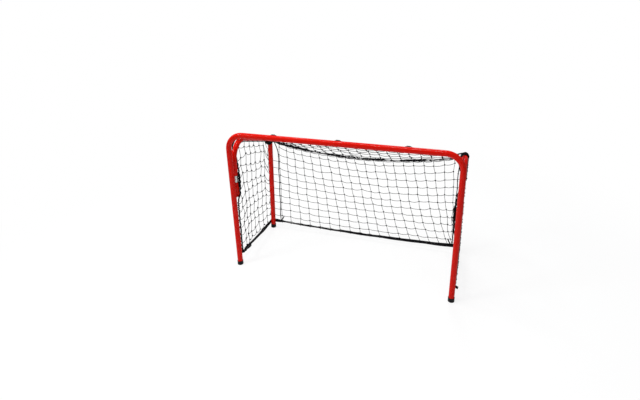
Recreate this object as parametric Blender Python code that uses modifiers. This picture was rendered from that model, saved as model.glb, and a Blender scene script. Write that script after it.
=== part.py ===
"""Folding hockey goal: a bent steel front frame, two side frames that swing on vertical
pivots behind its posts, and a knotted net with its cords and straps.

Metres, +Z up. The mouth faces -Y, the net lies towards +Y, and the origin is on the
ground in the middle of the goal's footprint.
"""
import bpy
import bmesh
import math
from mathutils import Matrix
from mathutils import Vector

# Frame: sizes are to the tubes' centre lines
GOAL_WIDTH = 0.894          # post to post
GOAL_HEIGHT = 0.590         # ground to crossbar
GOAL_DEPTH = 0.365          # front plane to the side frame's upper rear corner
TUBE_R = 0.0111             # half of 22.2 mm
TUBE_WALL = 0.0012
FRONT_BEND = 0.062
FIT = 0.0003                # clearance between pieces that touch

# Side frames
HINGE_SETBACK = 0.028       # pivot axis behind the front plane
SIDE_FRONT_HEIGHT = 0.567   # top bar's line over the pivot
SIDE_REAR_HEIGHT = 0.461    # top bar's line over the rear corner
REAR_LEAN = 0.025           # the rear foot stands this far ahead of the rear corner
SIDE_FRONT_BEND = 0.075
SIDE_REAR_BEND = 0.045
SHORT_LEG_END = 0.407       # lower end of the side frame's short front leg

# Pivot: a turned spigot in the short leg stands in a socket welded behind the post
SPIGOT_SHOULDER = 0.029
SPIGOT_STUB = 0.040
SOCKET_LENGTH = 0.063
SOCKET_R = 0.0122
SOCKET_BORE = 0.0083
WEB_THICKNESS = 0.008
WEB_HEIGHT = 0.050
SCREW_R = 0.0030
SCREW_LENGTH = 0.016
SCREW_HEAD_R = 0.0058
SCREW_HEAD = 0.0034
WASHER_R = 0.0110
WASHER_THICKNESS = 0.0016

# Feet
CAP_WALL = 0.0013
CAP_HEIGHT = 0.018
CAP_BASE = 0.003
CAP_ROUND = 0.0018

# Cords and straps
BORDER_CORD_R = 0.0020
POST_CORD_ANGLE = math.radians(35)      # behind the inside of the post
CROSSBAR_CORD_ANGLE = math.radians(85)  # behind the underside of the crossbar
POST_NET_ANGLE = math.radians(50)       # the side net's edge, behind the post's cord
RIGHT_CORD_TURN = math.radians(95)      # the right post's cord passes on behind the post
CORD_TURN_LENGTH = 0.060                # over which it does so
CORD_LEAVE = 0.018          # the post's cord leaves it this far below the socket
CORNER_CORD_R = 0.0020
CORNER_CORD_INBOARD = 0.038
RIGHT_CORNER_CORD_INBOARD = 0.0205      # the right one hangs nearer its leg
CORNER_CORD_SPREAD = 0.11   # share of its length over which it leaves the lashing
LASHING_CORD_R = 0.0020
LASHING_TURNS = 5
LASHING_PITCH = 0.0085
LASHING_AHEAD = 0.008       # its middle, up the bar from the bend's middle
WIND_STEPS = 10             # points in a turn of cord
TWIST_STEPS = 16            # points in a half turn of the tape
STRAP_WIDTH = 0.013
STRAP_THICKNESS = 0.0014
STRAP_FRONT_HEIGHT = 0.050
STRAP_REAR_HEIGHT = 0.032
STRAP_SAG = 0.004
DOUBLED_LENGTH = 0.050
RING_R = 0.0095
RING_WIRE = 0.0012
RING_INBOARD = 0.006
RING_SPACE = 0.0229         # from the post's surface to the ring's middle
TAPE_WIDTH = 0.009
TAPE_SAG = 0.030
TAPE_BOW = 0.035            # the tape's middle is drawn this far forward
TAPE_TWISTS = 5
TAPE_DROP = 0.012           # its ends lie below and ahead of the bar's rear corner
TAPE_SETBACK = 0.004

# Small fixings on the front frame
CLIP_R = 0.0036             # clips behind the top of the crossbar hold the net's cord
CLIP_BORE = 0.0025
CLIP_LENGTH = 0.014
CLIP_FOOT = 0.0015          # the foot's thickness over the tube
CLIP_FOOT_WIDTH = 0.010
CLIP_ANGLE = math.radians(120)
CLIP_SPACING = 0.257
CORD_RISE = 0.016           # the cord rises to a clip over this length
STAPLE_WIRE = 0.0015        # bent wires behind the posts hold the straps
STAPLE_REACH = 0.0065       # from the post's surface to the middle of the wire
STAPLE_BEND = 0.0030

# Net
MESH = 0.056                # knot to knot
STRAND = 0.0022
NET_THICKNESS = 0.0018
NET_OVERHANG = 0.005        # the back net passes the legs' lines by this much
CORNER_SPREAD = 0.12        # width over which the net's corner eases to the tape
ROOF_EDGE = 0.0035          # the roof net's edge, inboard of the side bar's line
REAR_TUCK = 0.060           # the side net's rear corner hangs this far below the bar
TUCK_LENGTH = 0.051         # over which it falls to that
TUCK_AHEAD = 0.073          # it starts this far ahead of the rear corner
RISE_START = 0.35           # share of the height above which the side net passes outside
RISE_SHARE = 0.5            # over which it does so

RED = (0.50, 0.008, 0.006)
BLACK = (0.012, 0.012, 0.013)
ZINC = (0.55, 0.55, 0.53)

TUBE_FACETS = 5             # bevel resolution: 14 sides
CORD_FACETS = 1             # 6 sides
TURN_STEPS = 20
RING_STEPS = 16
BEND_STEP = math.radians(12)
WELD = 0.00001

HALF = GOAL_WIDTH / 2
BORE = TUBE_R - TUBE_WALL
FOOT_BACK = GOAL_DEPTH - REAR_LEAN
CAP_R = TUBE_R + FIT + CAP_WALL
SHOULDER_END = SHORT_LEG_END - FIT - SPIGOT_SHOULDER
SOCKET_TOP = SHOULDER_END - FIT
SOCKET_BOTTOM = SOCKET_TOP - SOCKET_LENGTH
TUBE_END = CAP_BASE + FIT
RING_BACK = TUBE_R + RING_SPACE
NET_BEHIND = TUBE_R + FIT + NET_THICKNESS
EDGE_SPACE = STRAND / 2 + 2 * FIT   # from a strap or tape to the line of a net's edge
CHORD = math.cos(math.pi / WIND_STEPS)
CORD_SEAT = TUBE_R + FIT + BORDER_CORD_R
CLIP_SEAT = TUBE_R + FIT + CLIP_R
NET_EDGE_R = CORD_SEAT + BORDER_CORD_R + NET_THICKNESS + FIT
LASHING_R = (TUBE_R + FIT + LASHING_CORD_R) / CHORD
LASHING_REACH = LASHING_R + LASHING_CORD_R
LEFT, RIGHT = -1, 1
SIDE_NAMES = {LEFT: "left", RIGHT: "right"}


# Scene

for old in list(bpy.data.objects):
    bpy.data.objects.remove(old, do_unlink=True)

PARTS = bpy.data.collections.new("folding_hockey_goal")
CUTTERS = bpy.data.collections.new("cutters")
bpy.context.scene.collection.children.link(PARTS)
bpy.context.scene.collection.children.link(CUTTERS)


def finish(name, colour, roughness, metallic=0.0):
    material = bpy.data.materials.new(name)
    material.use_nodes = True
    shader = material.node_tree.nodes["Principled BSDF"]
    shader.inputs["Base Color"].default_value = (*colour, 1)
    shader.inputs["Roughness"].default_value = roughness
    shader.inputs["Metallic"].default_value = metallic
    return material


def powder_coat(name):
    return finish(name + "_coat", RED, 0.28)


def black_plastic(name):
    return finish(name + "_plastic", BLACK, 0.45)


def black_cord(name):
    return finish(name + "_cord", BLACK, 0.85)


def zinc_plate(name):
    return finish(name + "_zinc", ZINC, 0.35, 1.0)


# Paths

def rounded_path(corners, radii):
    """The corners joined by straight runs, each inner corner rounded to its radius."""
    points = [corners[0]]
    for before, corner, after, radius in zip(corners, corners[1:], corners[2:], radii):
        arrive = (before - corner).normalized()
        leave = (after - corner).normalized()
        half = arrive.angle(leave) / 2
        start = corner + arrive * radius / math.tan(half)
        centre = corner + (arrive + leave).normalized() * radius / math.sin(half)
        sweep = math.pi - 2 * half
        axis = (-arrive).cross(leave).normalized()
        steps = math.ceil(sweep / BEND_STEP)
        for step in range(steps + 1):
            turn = Matrix.Rotation(sweep * step / steps, 3, axis)
            points.append(centre + turn @ (start - centre))
    points.append(corners[-1])
    return points


def travelled(path):
    """The distance along the path at each of its points."""
    distances = [0.0]
    for a, b in zip(path, path[1:]):
        distances.append(distances[-1] + (b - a).length)
    return distances


def point_along(path, distance):
    for a, b in zip(path, path[1:]):
        run = (b - a).length
        if distance <= run or b is path[-1]:
            return a + (b - a) * distance / run
        distance -= run


def distance_near(path, place):
    """How far along the path it passes nearest to the place."""
    steps = 1000
    total = travelled(path)[-1]
    distances = [total * step / steps for step in range(steps + 1)]
    return min(distances, key=lambda distance: (point_along(path, distance) - place).length)


def smooth(value):
    value = min(1.0, max(0.0, value))
    return value * value * (3 - 2 * value)


def rising(value, power):
    return max(0.0, value) ** power


def goal_point(side, inboard, back, height):
    """A point by its distance inside a post, behind the front plane and above the ground."""
    return Vector((side * (HALF - inboard), FRONT_Y + back, height))


def leg_back(height):
    """How far the rear leg's line is behind the front plane at a height."""
    return FOOT_BACK + REAR_LEAN * height / SIDE_REAR_HEIGHT


def side_frame_corners():
    """The side frame's line in its own plane: distance back, and height."""
    return [
        Vector((0, HINGE_SETBACK, SHORT_LEG_END)),
        Vector((0, HINGE_SETBACK, SIDE_FRONT_HEIGHT)),
        Vector((0, GOAL_DEPTH, SIDE_REAR_HEIGHT)),
        Vector((0, leg_back(TUBE_END), TUBE_END)),
    ]


SIDE_PROFILE = rounded_path(side_frame_corners(), [SIDE_FRONT_BEND, SIDE_REAR_BEND])
REAR_REACH = leg_back(SIDE_REAR_HEIGHT - MESH) + NET_BEHIND + NET_THICKNESS / 2
FRONT_Y = -(REAR_REACH - CAP_R) / 2     # the back net's upper corners reach furthest back


def side_frame_path(side):
    return [p + Vector((side * HALF, FRONT_Y, 0)) for p in SIDE_PROFILE]


def frame_height(back):
    """The height of the side frame's upper line, bends included, at a distance back."""
    for a, b in zip(SIDE_PROFILE, SIDE_PROFILE[1:]):
        if a.y <= back < b.y:
            return a.z + (b.z - a.z) * (back - a.y) / (b.y - a.y)
    return SIDE_REAR_HEIGHT


def bar_height(back):
    """The height of the side frame's top bar's straight line."""
    share = (back - HINGE_SETBACK) / (GOAL_DEPTH - HINGE_SETBACK)
    return SIDE_FRONT_HEIGHT + share * (SIDE_REAR_HEIGHT - SIDE_FRONT_HEIGHT)


BAR_SLOPE = math.atan2(SIDE_FRONT_HEIGHT - SIDE_REAR_HEIGHT, GOAL_DEPTH - HINGE_SETBACK)


def hang(share):
    """How fully a cord hangs at a share of its span: 0 at the ends, 1 in the middle."""
    return max(0.0, 4 * share * (1 - share))


# Making solids

def place(obj, material, collection=PARTS):
    collection.objects.link(obj)
    obj.data.materials.clear()
    obj.data.materials.append(material)
    return obj


def curve_object(name, points, radius=0, facets=0, caps=True, tilts=None, profile=None, closed=False):
    curve = bpy.data.curves.new(name, "CURVE")
    curve.dimensions = "3D"
    curve.twist_mode = "Z_UP" if profile else "MINIMUM"
    if profile:
        curve.bevel_mode = "OBJECT"
        curve.bevel_object = profile
    else:
        curve.bevel_depth = radius
        curve.bevel_resolution = facets
    curve.use_fill_caps = caps
    spline = curve.splines.new("POLY")
    spline.points.add(len(points) - 1)
    spline.use_cyclic_u = closed
    for index, point in enumerate(points):
        spline.points[index].co = (*point, 1)
        if tilts:
            spline.points[index].tilt = tilts[index]
    return bpy.data.objects.new(name, curve)


def as_mesh(obj):
    """The curve object's mesh, with its caps welded on, in a new object of the same name."""
    bpy.context.scene.collection.objects.link(obj)
    graph = bpy.context.evaluated_depsgraph_get()
    mesh = bpy.data.meshes.new_from_object(obj.evaluated_get(graph))
    solid = bmesh.new()
    solid.from_mesh(mesh)
    bmesh.ops.remove_doubles(solid, verts=solid.verts, dist=WELD)
    bmesh.ops.recalc_face_normals(solid, faces=solid.faces)
    solid.to_mesh(mesh)
    solid.free()
    name, world = obj.name, obj.matrix_world.copy()
    curve = obj.data
    bpy.data.objects.remove(obj, do_unlink=True)
    bpy.data.curves.remove(curve)
    result = bpy.data.objects.new(name, mesh)
    result.matrix_world = world
    return result


def smooth_shade(obj, angle=math.radians(35)):
    obj.data.shade_smooth()
    obj.data.set_sharp_from_angle(angle=angle)
    return obj


def hollow_tube(name, path):
    """A bent tube, open at both ends."""
    skin = as_mesh(curve_object(name, path, TUBE_R, TUBE_FACETS, caps=False))
    wall = skin.modifiers.new("wall", "SOLIDIFY")
    wall.thickness = TUBE_WALL
    wall.offset = -1
    wall.use_even_offset = True
    return place(smooth_shade(skin), powder_coat(name))


def cord(name, path, radius):
    return place(curve_object(name, path, radius, CORD_FACETS), black_cord(name))


def tape(name, path, width, tilts=None, closed=False):
    """Webbing along the path, its width upright where it isn't tilted."""
    outline = bpy.data.curves.new(name + "_section", "CURVE")
    outline.dimensions = "2D"
    spline = outline.splines.new("POLY")
    spline.points.add(3)
    spline.use_cyclic_u = True
    for point, (across, up) in zip(spline.points, ((-1, -1), (1, -1), (1, 1), (-1, 1))):
        point.co = (across * STRAP_THICKNESS / 2, up * width / 2, 0, 1)
    section = bpy.data.objects.new(name + "_section", outline)
    bpy.context.scene.collection.objects.link(section)
    curve = curve_object(name, path, caps=not closed, tilts=tilts, profile=section, closed=closed)
    piece = as_mesh(curve)
    bpy.data.objects.remove(section, do_unlink=True)
    return place(piece, black_cord(name))


def turned(name, profile, location, direction=Vector((0, 0, 1))):
    """A solid of revolution. The profile is (radius, height), from the top down."""
    mesh = bpy.data.meshes.new(name)
    outline = bmesh.new()
    verts = [outline.verts.new((radius, 0, height)) for radius, height in profile]
    for a, b in zip(verts, verts[1:]):
        outline.edges.new((a, b))
    outline.to_mesh(mesh)
    outline.free()
    piece = bpy.data.objects.new(name, mesh)
    piece.location = location
    piece.rotation_mode = "QUATERNION"
    piece.rotation_quaternion = Vector((0, 0, 1)).rotation_difference(direction)
    screw = piece.modifiers.new("turn", "SCREW")
    screw.steps = TURN_STEPS
    screw.render_steps = TURN_STEPS
    screw.use_merge_vertices = True
    screw.merge_threshold = WELD
    return piece


def cutter(obj):
    CUTTERS.objects.link(obj)
    obj.hide_render = True
    obj.display_type = "WIRE"
    return obj


def combine(obj, other, operation):
    boolean = obj.modifiers.new(operation.lower(), "BOOLEAN")
    boolean.operation = operation
    boolean.solver = "EXACT"
    boolean.object = cutter(other)


def rod(name, radius, low, high):
    """A plain cylinder between two points."""
    mesh = bpy.data.meshes.new(name)
    solid = bmesh.new()
    length = (high - low).length
    bmesh.ops.create_cone(
        solid, cap_ends=True, segments=TURN_STEPS, radius1=radius, radius2=radius, depth=length
    )
    solid.to_mesh(mesh)
    solid.free()
    piece = smooth_shade(bpy.data.objects.new(name, mesh))
    piece.location = (low + high) / 2
    piece.rotation_mode = "QUATERNION"
    piece.rotation_quaternion = Vector((0, 0, 1)).rotation_difference(high - low)
    return piece


def block(name, size, centre):
    mesh = bpy.data.meshes.new(name)
    solid = bmesh.new()
    bmesh.ops.create_cube(solid, size=1)
    bmesh.ops.scale(solid, vec=size, verts=solid.verts)
    solid.to_mesh(mesh)
    solid.free()
    piece = bpy.data.objects.new(name, mesh)
    piece.location = centre
    return piece


def ride(obj, hinge):
    """Hang the piece on the side frame's pivot without moving it."""
    obj.parent = hinge
    obj.matrix_parent_inverse = hinge.matrix_world.inverted()
    return obj


def least_gap(name, points, radius):
    """Print how near a wound cord comes to itself, leaving out neighbours along it."""
    far_enough = 4 * radius
    distances = travelled(points)
    gap = math.inf
    for i, a in enumerate(points):
        for j in range(i + 1, len(points) - 1):
            if distances[j] - distances[i] < far_enough:
                continue
            run = points[j + 1] - points[j]
            share = min(1, max(0, (a - points[j]).dot(run) / run.length_squared))
            gap = min(gap, (points[j] + run * share - a).length - 2 * radius)
    print(f"{name}: least gap to itself {gap * 1000:.2f} mm")


# Front frame

def front_path():
    """From the left post's foot, over the crossbar, to the right post's foot."""
    corners = [
        goal_point(LEFT, 0, 0, TUBE_END),
        goal_point(LEFT, 0, 0, GOAL_HEIGHT),
        goal_point(RIGHT, 0, 0, GOAL_HEIGHT),
        goal_point(RIGHT, 0, 0, TUBE_END),
    ]
    return rounded_path(corners, [FRONT_BEND, FRONT_BEND])


def front_line_height(x):
    """The height of the front frame's line over a place on the crossbar or its bends."""
    into_bend = max(0, abs(x) - (HALF - FRONT_BEND))
    into_bend = min(into_bend, FRONT_BEND)
    return GOAL_HEIGHT - FRONT_BEND + math.sqrt(FRONT_BEND ** 2 - into_bend ** 2)


def foot_cap(name, top, direction):
    """A moulded cup over the tube's end, its sole level with the ground."""
    bore = TUBE_R + FIT
    low = -CAP_R * 0.2
    profile = [
        (bore, CAP_HEIGHT),
        (CAP_R, CAP_HEIGHT),
        (CAP_R, CAP_ROUND),
        (CAP_R - CAP_ROUND * 0.3, CAP_ROUND * 0.3),
        (CAP_R - CAP_ROUND, 0),
        (CAP_R - CAP_ROUND, low),
        (0, low),
    ]
    floor = [(0, CAP_BASE), (bore, CAP_BASE), (bore, CAP_HEIGHT)]
    cap = turned(name, profile + floor, top, direction)
    depth = 4 * CAP_R
    ground = block(name + "_ground", (depth, depth, depth), Vector((top.x, top.y, -depth / 2)))
    combine(cap, ground, "DIFFERENCE")
    return place(cap, black_plastic(name))


def socket(side):
    """A short tube welded behind the post on a web, which carries the side frame."""
    name = "hinge_socket_" + SIDE_NAMES[side]
    axis = goal_point(side, 0, HINGE_SETBACK, 0)
    post = goal_point(side, 0, 0, 0)
    up = Vector((0, 0, 1))
    piece = rod(name, SOCKET_R, axis + up * SOCKET_BOTTOM, axis + up * SOCKET_TOP)
    middle = (SOCKET_TOP + SOCKET_BOTTOM) / 2
    web = block(name + "_web", (WEB_THICKNESS, HINGE_SETBACK, WEB_HEIGHT), (post + axis) / 2 + up * middle)
    combine(piece, web, "UNION")
    over = up * 0.01
    low, high = up * SOCKET_BOTTOM - over, up * SOCKET_TOP + over
    combine(piece, rod(name + "_bore", SOCKET_BORE, axis + low, axis + high), "DIFFERENCE")
    combine(piece, rod(name + "_saddle", TUBE_R + FIT, post + low, post + high), "DIFFERENCE")
    return place(piece, powder_coat(name))


# Side frames and their pivots

def spigot(side):
    """A turned pin: a stub in the short leg, a bare shoulder and a journal in the socket."""
    stub = BORE - FIT
    journal = SOCKET_BORE - FIT
    chamfer = 0.0010
    end = SOCKET_BOTTOM - 2 * FIT
    hole = SCREW_R + FIT
    profile = [
        (0, SHORT_LEG_END + SPIGOT_STUB),
        (stub - chamfer, SHORT_LEG_END + SPIGOT_STUB),
        (stub, SHORT_LEG_END + SPIGOT_STUB - chamfer),
        (stub, SHORT_LEG_END - FIT),
        (TUBE_R, SHORT_LEG_END - FIT),
        (TUBE_R, SHOULDER_END),
        (journal, SHOULDER_END),
        (journal, end + chamfer),
        (journal - chamfer, end),
        (hole, end),
        (hole, end + SCREW_LENGTH + chamfer),
        (0, end + SCREW_LENGTH + chamfer),
    ]
    name = "pivot_spigot_" + SIDE_NAMES[side]
    return place(turned(name, profile, goal_point(side, 0, HINGE_SETBACK, 0)), zinc_plate(name))


def retaining_washer(side):
    top = SOCKET_BOTTOM - 3 * FIT
    low = top - WASHER_THICKNESS
    hole = SCREW_R + FIT
    profile = [(hole, top), (WASHER_R, top), (WASHER_R, low), (hole, low), (hole, top)]
    name = "retaining_washer_" + SIDE_NAMES[side]
    return place(turned(name, profile, goal_point(side, 0, HINGE_SETBACK, 0)), zinc_plate(name))


def retaining_screw(side):
    """Holds the washer under the socket, so that the side frame can't lift out."""
    head_top = SOCKET_BOTTOM - 4 * FIT - WASHER_THICKNESS
    shank_top = SOCKET_BOTTOM - 2 * FIT + SCREW_LENGTH
    profile = [
        (0, shank_top),
        (SCREW_R, shank_top),
        (SCREW_R, head_top),
        (SCREW_HEAD_R, head_top),
        (SCREW_HEAD_R, head_top - SCREW_HEAD * 0.4),
        (SCREW_HEAD_R * 0.7, head_top - SCREW_HEAD),
        (0, head_top - SCREW_HEAD),
    ]
    name = "retaining_screw_" + SIDE_NAMES[side]
    return place(turned(name, profile, goal_point(side, 0, HINGE_SETBACK, 0)), zinc_plate(name))


def rear_foot(side):
    """The rear leg leans, so its cup follows the leg and is moulded level below."""
    foot = goal_point(side, 0, FOOT_BACK, 0)
    leg = Vector((0, REAR_LEAN, SIDE_REAR_HEIGHT)).normalized()
    return foot_cap("rear_foot_" + SIDE_NAMES[side], foot, leg)


# Cords that the frame holds

def wound_point(path, distance, plane, angle, radius):
    """A point beside the tube: angle 0 is inward in the tube's plane, 90 along the plane's normal."""
    reach = TUBE_R / 2
    along = point_along(path, distance + reach) - point_along(path, distance - reach)
    inward = plane.cross(along).normalized()
    return point_along(path, distance) + (inward * math.cos(angle) + plane * math.sin(angle)) * radius


def edge_angle(x):
    """The net's edge passes from inside the post, round the bend, to behind the crossbar."""
    on_bar = smooth((HALF - abs(x)) / FRONT_BEND)
    return POST_CORD_ANGLE + (CROSSBAR_CORD_ANGLE - POST_CORD_ANGLE) * on_bar


def rise_to_clip(x):
    """How far the crossbar's cord has risen to the nearest clip: 1 inside it."""
    from_clip = min(abs(x - place * CLIP_SPACING) for place in (-1, 0, 1))
    return 1 - smooth((from_clip - CLIP_LENGTH / 2 - FIT) / CORD_RISE)


def crossbar_cord():
    """Behind the crossbar and both bends, through the three clips."""
    path = front_path()
    total = travelled(path)[-1]
    bend_start = travelled(path)[1]
    stops = [distance for distance in travelled(path) if bend_start <= distance <= total - bend_start]
    steps = 8
    for place in (-1, 0, 1):
        middle = total / 2 + place * CLIP_SPACING
        for k in range(steps + 1):
            reach = CLIP_LENGTH / 2 + FIT + CORD_RISE * k / steps
            stops += [middle - reach, middle + reach]
    points = []
    for distance in sorted(stops):
        x = point_along(path, distance).x
        rise = rise_to_clip(x)
        angle = edge_angle(x) + (CLIP_ANGLE - edge_angle(x)) * rise
        radius = CORD_SEAT + (CLIP_SEAT - CORD_SEAT) * rise
        points.append(wound_point(path, distance, Vector((0, 1, 0)), angle, radius))
    return cord("crossbar_cord", points, BORDER_CORD_R)


def net_clip(number):
    """A moulded clip behind the top of the crossbar: an eye for the net's cord on a seated foot."""
    name = f"net_clip_{number}"
    bar = Vector(((number - 2) * CLIP_SPACING, FRONT_Y, GOAL_HEIGHT))
    out = Vector((0, math.sin(CLIP_ANGLE), -math.cos(CLIP_ANGLE)))
    reach = Vector((CLIP_LENGTH / 2, 0, 0))
    eye = bar + out * CLIP_SEAT
    clip = rod(name, CLIP_R, eye - reach, eye + reach)
    top = TUBE_R + FIT + CLIP_FOOT
    low = TUBE_R / 2
    foot = block(name + "_foot", (CLIP_LENGTH, CLIP_FOOT_WIDTH, top - low), bar + out * (top + low) / 2)
    foot.rotation_euler.x = CLIP_ANGLE
    combine(clip, foot, "UNION")
    combine(clip, rod(name + "_bore", CLIP_BORE, eye - 2 * reach, eye + 2 * reach), "DIFFERENCE")
    combine(clip, rod(name + "_saddle", TUBE_R + FIT, bar - 2 * reach, bar + 2 * reach), "DIFFERENCE")
    return place(clip, black_plastic(name))


def strap_staple(side):
    """A bent wire behind the post, for the loop that holds the strap's ring."""
    name = "strap_staple_" + SIDE_NAMES[side]
    half = STRAP_WIDTH / 2 + STAPLE_WIRE + FIT
    corners = [
        goal_point(side, 0, TUBE_R + back, STRAP_FRONT_HEIGHT + end * half)
        for end, back in ((-1, FIT), (-1, STAPLE_REACH), (1, STAPLE_REACH), (1, FIT))
    ]
    wire = curve_object(name, rounded_path(corners, [STAPLE_BEND, STAPLE_BEND]), STAPLE_WIRE, CORD_FACETS)
    return place(wire, powder_coat(name))


def post_cord(side):
    """Up the post, past the socket's inner side, and up behind the short leg."""
    beside_socket = SOCKET_R + FIT + BORDER_CORD_R
    low = STRAP_FRONT_HEIGHT + STRAP_WIDTH / 2 + 2 * BORDER_CORD_R
    leave = SOCKET_BOTTOM - CORD_LEAVE
    start = SOCKET_BOTTOM + SOCKET_R / 2
    end = SIDE_PROFILE[1].z
    turn = RIGHT_CORD_TURN if side == RIGHT else 0
    first, last = math.radians(-20), math.radians(90)
    steps = 10
    points = []
    for share in [0] + [k / steps for k in range(steps + 1)]:
        height = leave - CORD_TURN_LENGTH * (1 - share) if points else low
        angle = POST_CORD_ANGLE + turn * (1 - smooth(share))
        points.append(goal_point(side, CORD_SEAT * math.cos(angle), CORD_SEAT * math.sin(angle), height))
    for k in range(steps + 1):
        height = start + (end - start) * k / steps
        angle = first + (last - first) * k / steps
        past_socket = smooth((height - SOCKET_TOP - BORDER_CORD_R) / SPIGOT_SHOULDER)
        radius = (beside_socket + (CORD_SEAT - beside_socket) * past_socket) / CHORD
        back = HINGE_SETBACK + radius * math.sin(angle)
        points.append(goal_point(side, radius * math.cos(angle), back, height))
    return cord("post_cord_" + SIDE_NAMES[side], points, BORDER_CORD_R)


def lashing_start(path, side):
    """The lashing's turns sit on the rear bend and the bar's end."""
    corner = goal_point(side, 0, GOAL_DEPTH, SIDE_REAR_HEIGHT)
    return distance_near(path, corner) - LASHING_AHEAD - LASHING_TURNS * LASHING_PITCH / 2


def bar_cord(side):
    """The net's edge cord, on top of the side frame's top bar."""
    path = side_frame_path(side)
    start = distance_near(path, goal_point(side, 0, HINGE_SETBACK, SIDE_FRONT_HEIGHT))
    end = lashing_start(path, side) - LASHING_CORD_R - 2 * FIT
    stops = [start, end] + [distance for distance in travelled(path) if start < distance < end]
    points = [wound_point(path, stop, Vector((1, 0, 0)), math.pi, CORD_SEAT) for stop in sorted(stops)]
    return cord("bar_cord_" + SIDE_NAMES[side], points, BORDER_CORD_R)


def corner_lashing(side):
    """Turns of cord round the rear bend that gather the net's corner to the frame."""
    path = side_frame_path(side)
    start = lashing_start(path, side)
    points = []
    for step in range(LASHING_TURNS * WIND_STEPS + 1):
        turn = step / WIND_STEPS
        distance = start + LASHING_PITCH * turn
        points.append(wound_point(path, distance, Vector((1, 0, 0)), math.pi + 2 * math.pi * turn, LASHING_R))
    name = "corner_lashing_" + SIDE_NAMES[side]
    least_gap(name, points, LASHING_CORD_R)
    return cord(name, points, LASHING_CORD_R)


# Straps

def belt_path(centre_a, radius_a, centre_b, radius_b, height):
    """A closed loop round two circles in plan, like a belt on two pulleys."""
    gap = centre_b - centre_a
    heading = math.atan2(gap.y, gap.x)
    open_angle = math.acos((radius_a - radius_b) / gap.length)
    points = []
    for centre, radius, start, sweep, steps in (
        (centre_a, radius_a, heading + open_angle, 2 * (math.pi - open_angle), 16),
        (centre_b, radius_b, heading - open_angle, 2 * open_angle, 6),
    ):
        for step in range(steps + 1):
            angle = start + sweep * step / steps
            points.append(centre + Vector((math.cos(angle), math.sin(angle))) * radius)
    return [Vector((p.x, p.y, height)) for p in points]


# Over the strap's width the ring's wire lies between these distances from its middle
RING_OUTER = RING_R + RING_WIRE
RING_INNER = math.sqrt((RING_R * math.cos(math.pi / RING_STEPS) - RING_WIRE) ** 2 - (STRAP_WIDTH / 2) ** 2)
LOOP_R = (RING_OUTER - RING_INNER) / 2 + 1.5 * FIT + STRAP_THICKNESS / 2


def ring_bar(side, direction):
    """The place in plan of the ring's front (-1) or rear (1) bar, where a loop goes round it."""
    back = RING_BACK + direction * (RING_OUTER + RING_INNER) / 2
    return goal_point(side, RING_INBOARD, back, 0).to_2d()


def post_loop(side):
    """A webbing loop through the post's staple that holds the strap's ring."""
    bar = goal_point(side, 0, TUBE_R + STAPLE_REACH, 0).to_2d()
    radius = STAPLE_WIRE + 1.5 * FIT + STRAP_THICKNESS / 2
    path = belt_path(bar, radius, ring_bar(side, -1), LOOP_R, STRAP_FRONT_HEIGHT)
    return tape("post_loop_" + SIDE_NAMES[side], path, STRAP_WIDTH, closed=True)


def strap_ring(side):
    name = "strap_ring_" + SIDE_NAMES[side]
    bpy.ops.mesh.primitive_torus_add(
        major_radius=RING_R, minor_radius=RING_WIRE, major_segments=RING_STEPS, minor_segments=6,
        location=goal_point(side, RING_INBOARD, RING_BACK, STRAP_FRONT_HEIGHT),
        rotation=(0, math.pi / 2, 0),
    )
    ring = bpy.context.object
    ring.name = name
    ring.data.name = name
    for collection in list(ring.users_collection):
        collection.objects.unlink(ring)
    return place(ring, zinc_plate(name))


def strap_point(place, sag=STRAP_SAG):
    """A place in plan raised to the side strap's height there."""
    front = FRONT_Y + RING_BACK
    rear = FRONT_Y + leg_back(STRAP_REAR_HEIGHT)
    share = min(1, max(0, (place.y - front) / (rear - front)))
    height = STRAP_FRONT_HEIGHT + (STRAP_REAR_HEIGHT - STRAP_FRONT_HEIGHT) * share
    return Vector((place.x, place.y, height - sag * hang(share)))


def side_strap(side):
    """Webbing from the ring to the rear leg, doubled back on itself at the ring."""
    bar = ring_bar(side, 1)
    outside = TUBE_R + 2 * FIT + STRAP_THICKNESS / 2
    leg = goal_point(side, 0, leg_back(STRAP_REAR_HEIGHT), 0).to_2d()
    tangent = goal_point(side, -outside, leg_back(STRAP_REAR_HEIGHT), 0).to_2d()
    along = (tangent - bar).normalized()
    outer = Vector((side * along.y, -side * along.x))
    main = bar + outer * LOOP_R
    reach = (tangent - main).length
    ply = outer * (STRAP_THICKNESS + FIT)
    plan = [main.lerp(tangent, DOUBLED_LENGTH * share / reach) - ply for share in (1, 0.35)]
    for k in range(7):
        angle = math.pi * k / 6
        plan.append(bar - (outer * math.cos(angle) + along * math.sin(angle)) * LOOP_R)
    plan += [main.lerp(tangent, share) for share in (0.25, 0.5, 0.75)]
    for k in range(9):
        angle = math.radians(100) * k / 8
        plan.append(leg + Vector((side * math.cos(angle), math.sin(angle))) * outside)
    return tape("side_strap_" + SIDE_NAMES[side], [strap_point(p) for p in plan], STRAP_WIDTH)


def rear_strap_height(x):
    return STRAP_REAR_HEIGHT - STRAP_SAG * hang(0.5 + x / GOAL_WIDTH)


def rear_strap():
    """Webbing across the back, behind the side straps' ends at both rear legs."""
    back = leg_back(STRAP_REAR_HEIGHT) + TUBE_R + 3 * FIT + 1.5 * STRAP_THICKNESS
    steps = 12
    path = []
    for k in range(steps + 1):
        x = (2 * k / steps - 1) * HALF
        path.append(Vector((x, FRONT_Y + back, rear_strap_height(x))))
    return tape("rear_strap", path, STRAP_WIDTH)


TAPE_END = HALF - LASHING_REACH - 3 * FIT


def tape_point(x):
    """The twisted tape's line along the top of the back net."""
    full = hang(0.5 + x / TAPE_END / 2)
    back = GOAL_DEPTH - TAPE_SETBACK - TAPE_BOW * full
    return Vector((x, FRONT_Y + back, SIDE_REAR_HEIGHT - TAPE_DROP - TAPE_SAG * full))


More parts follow.
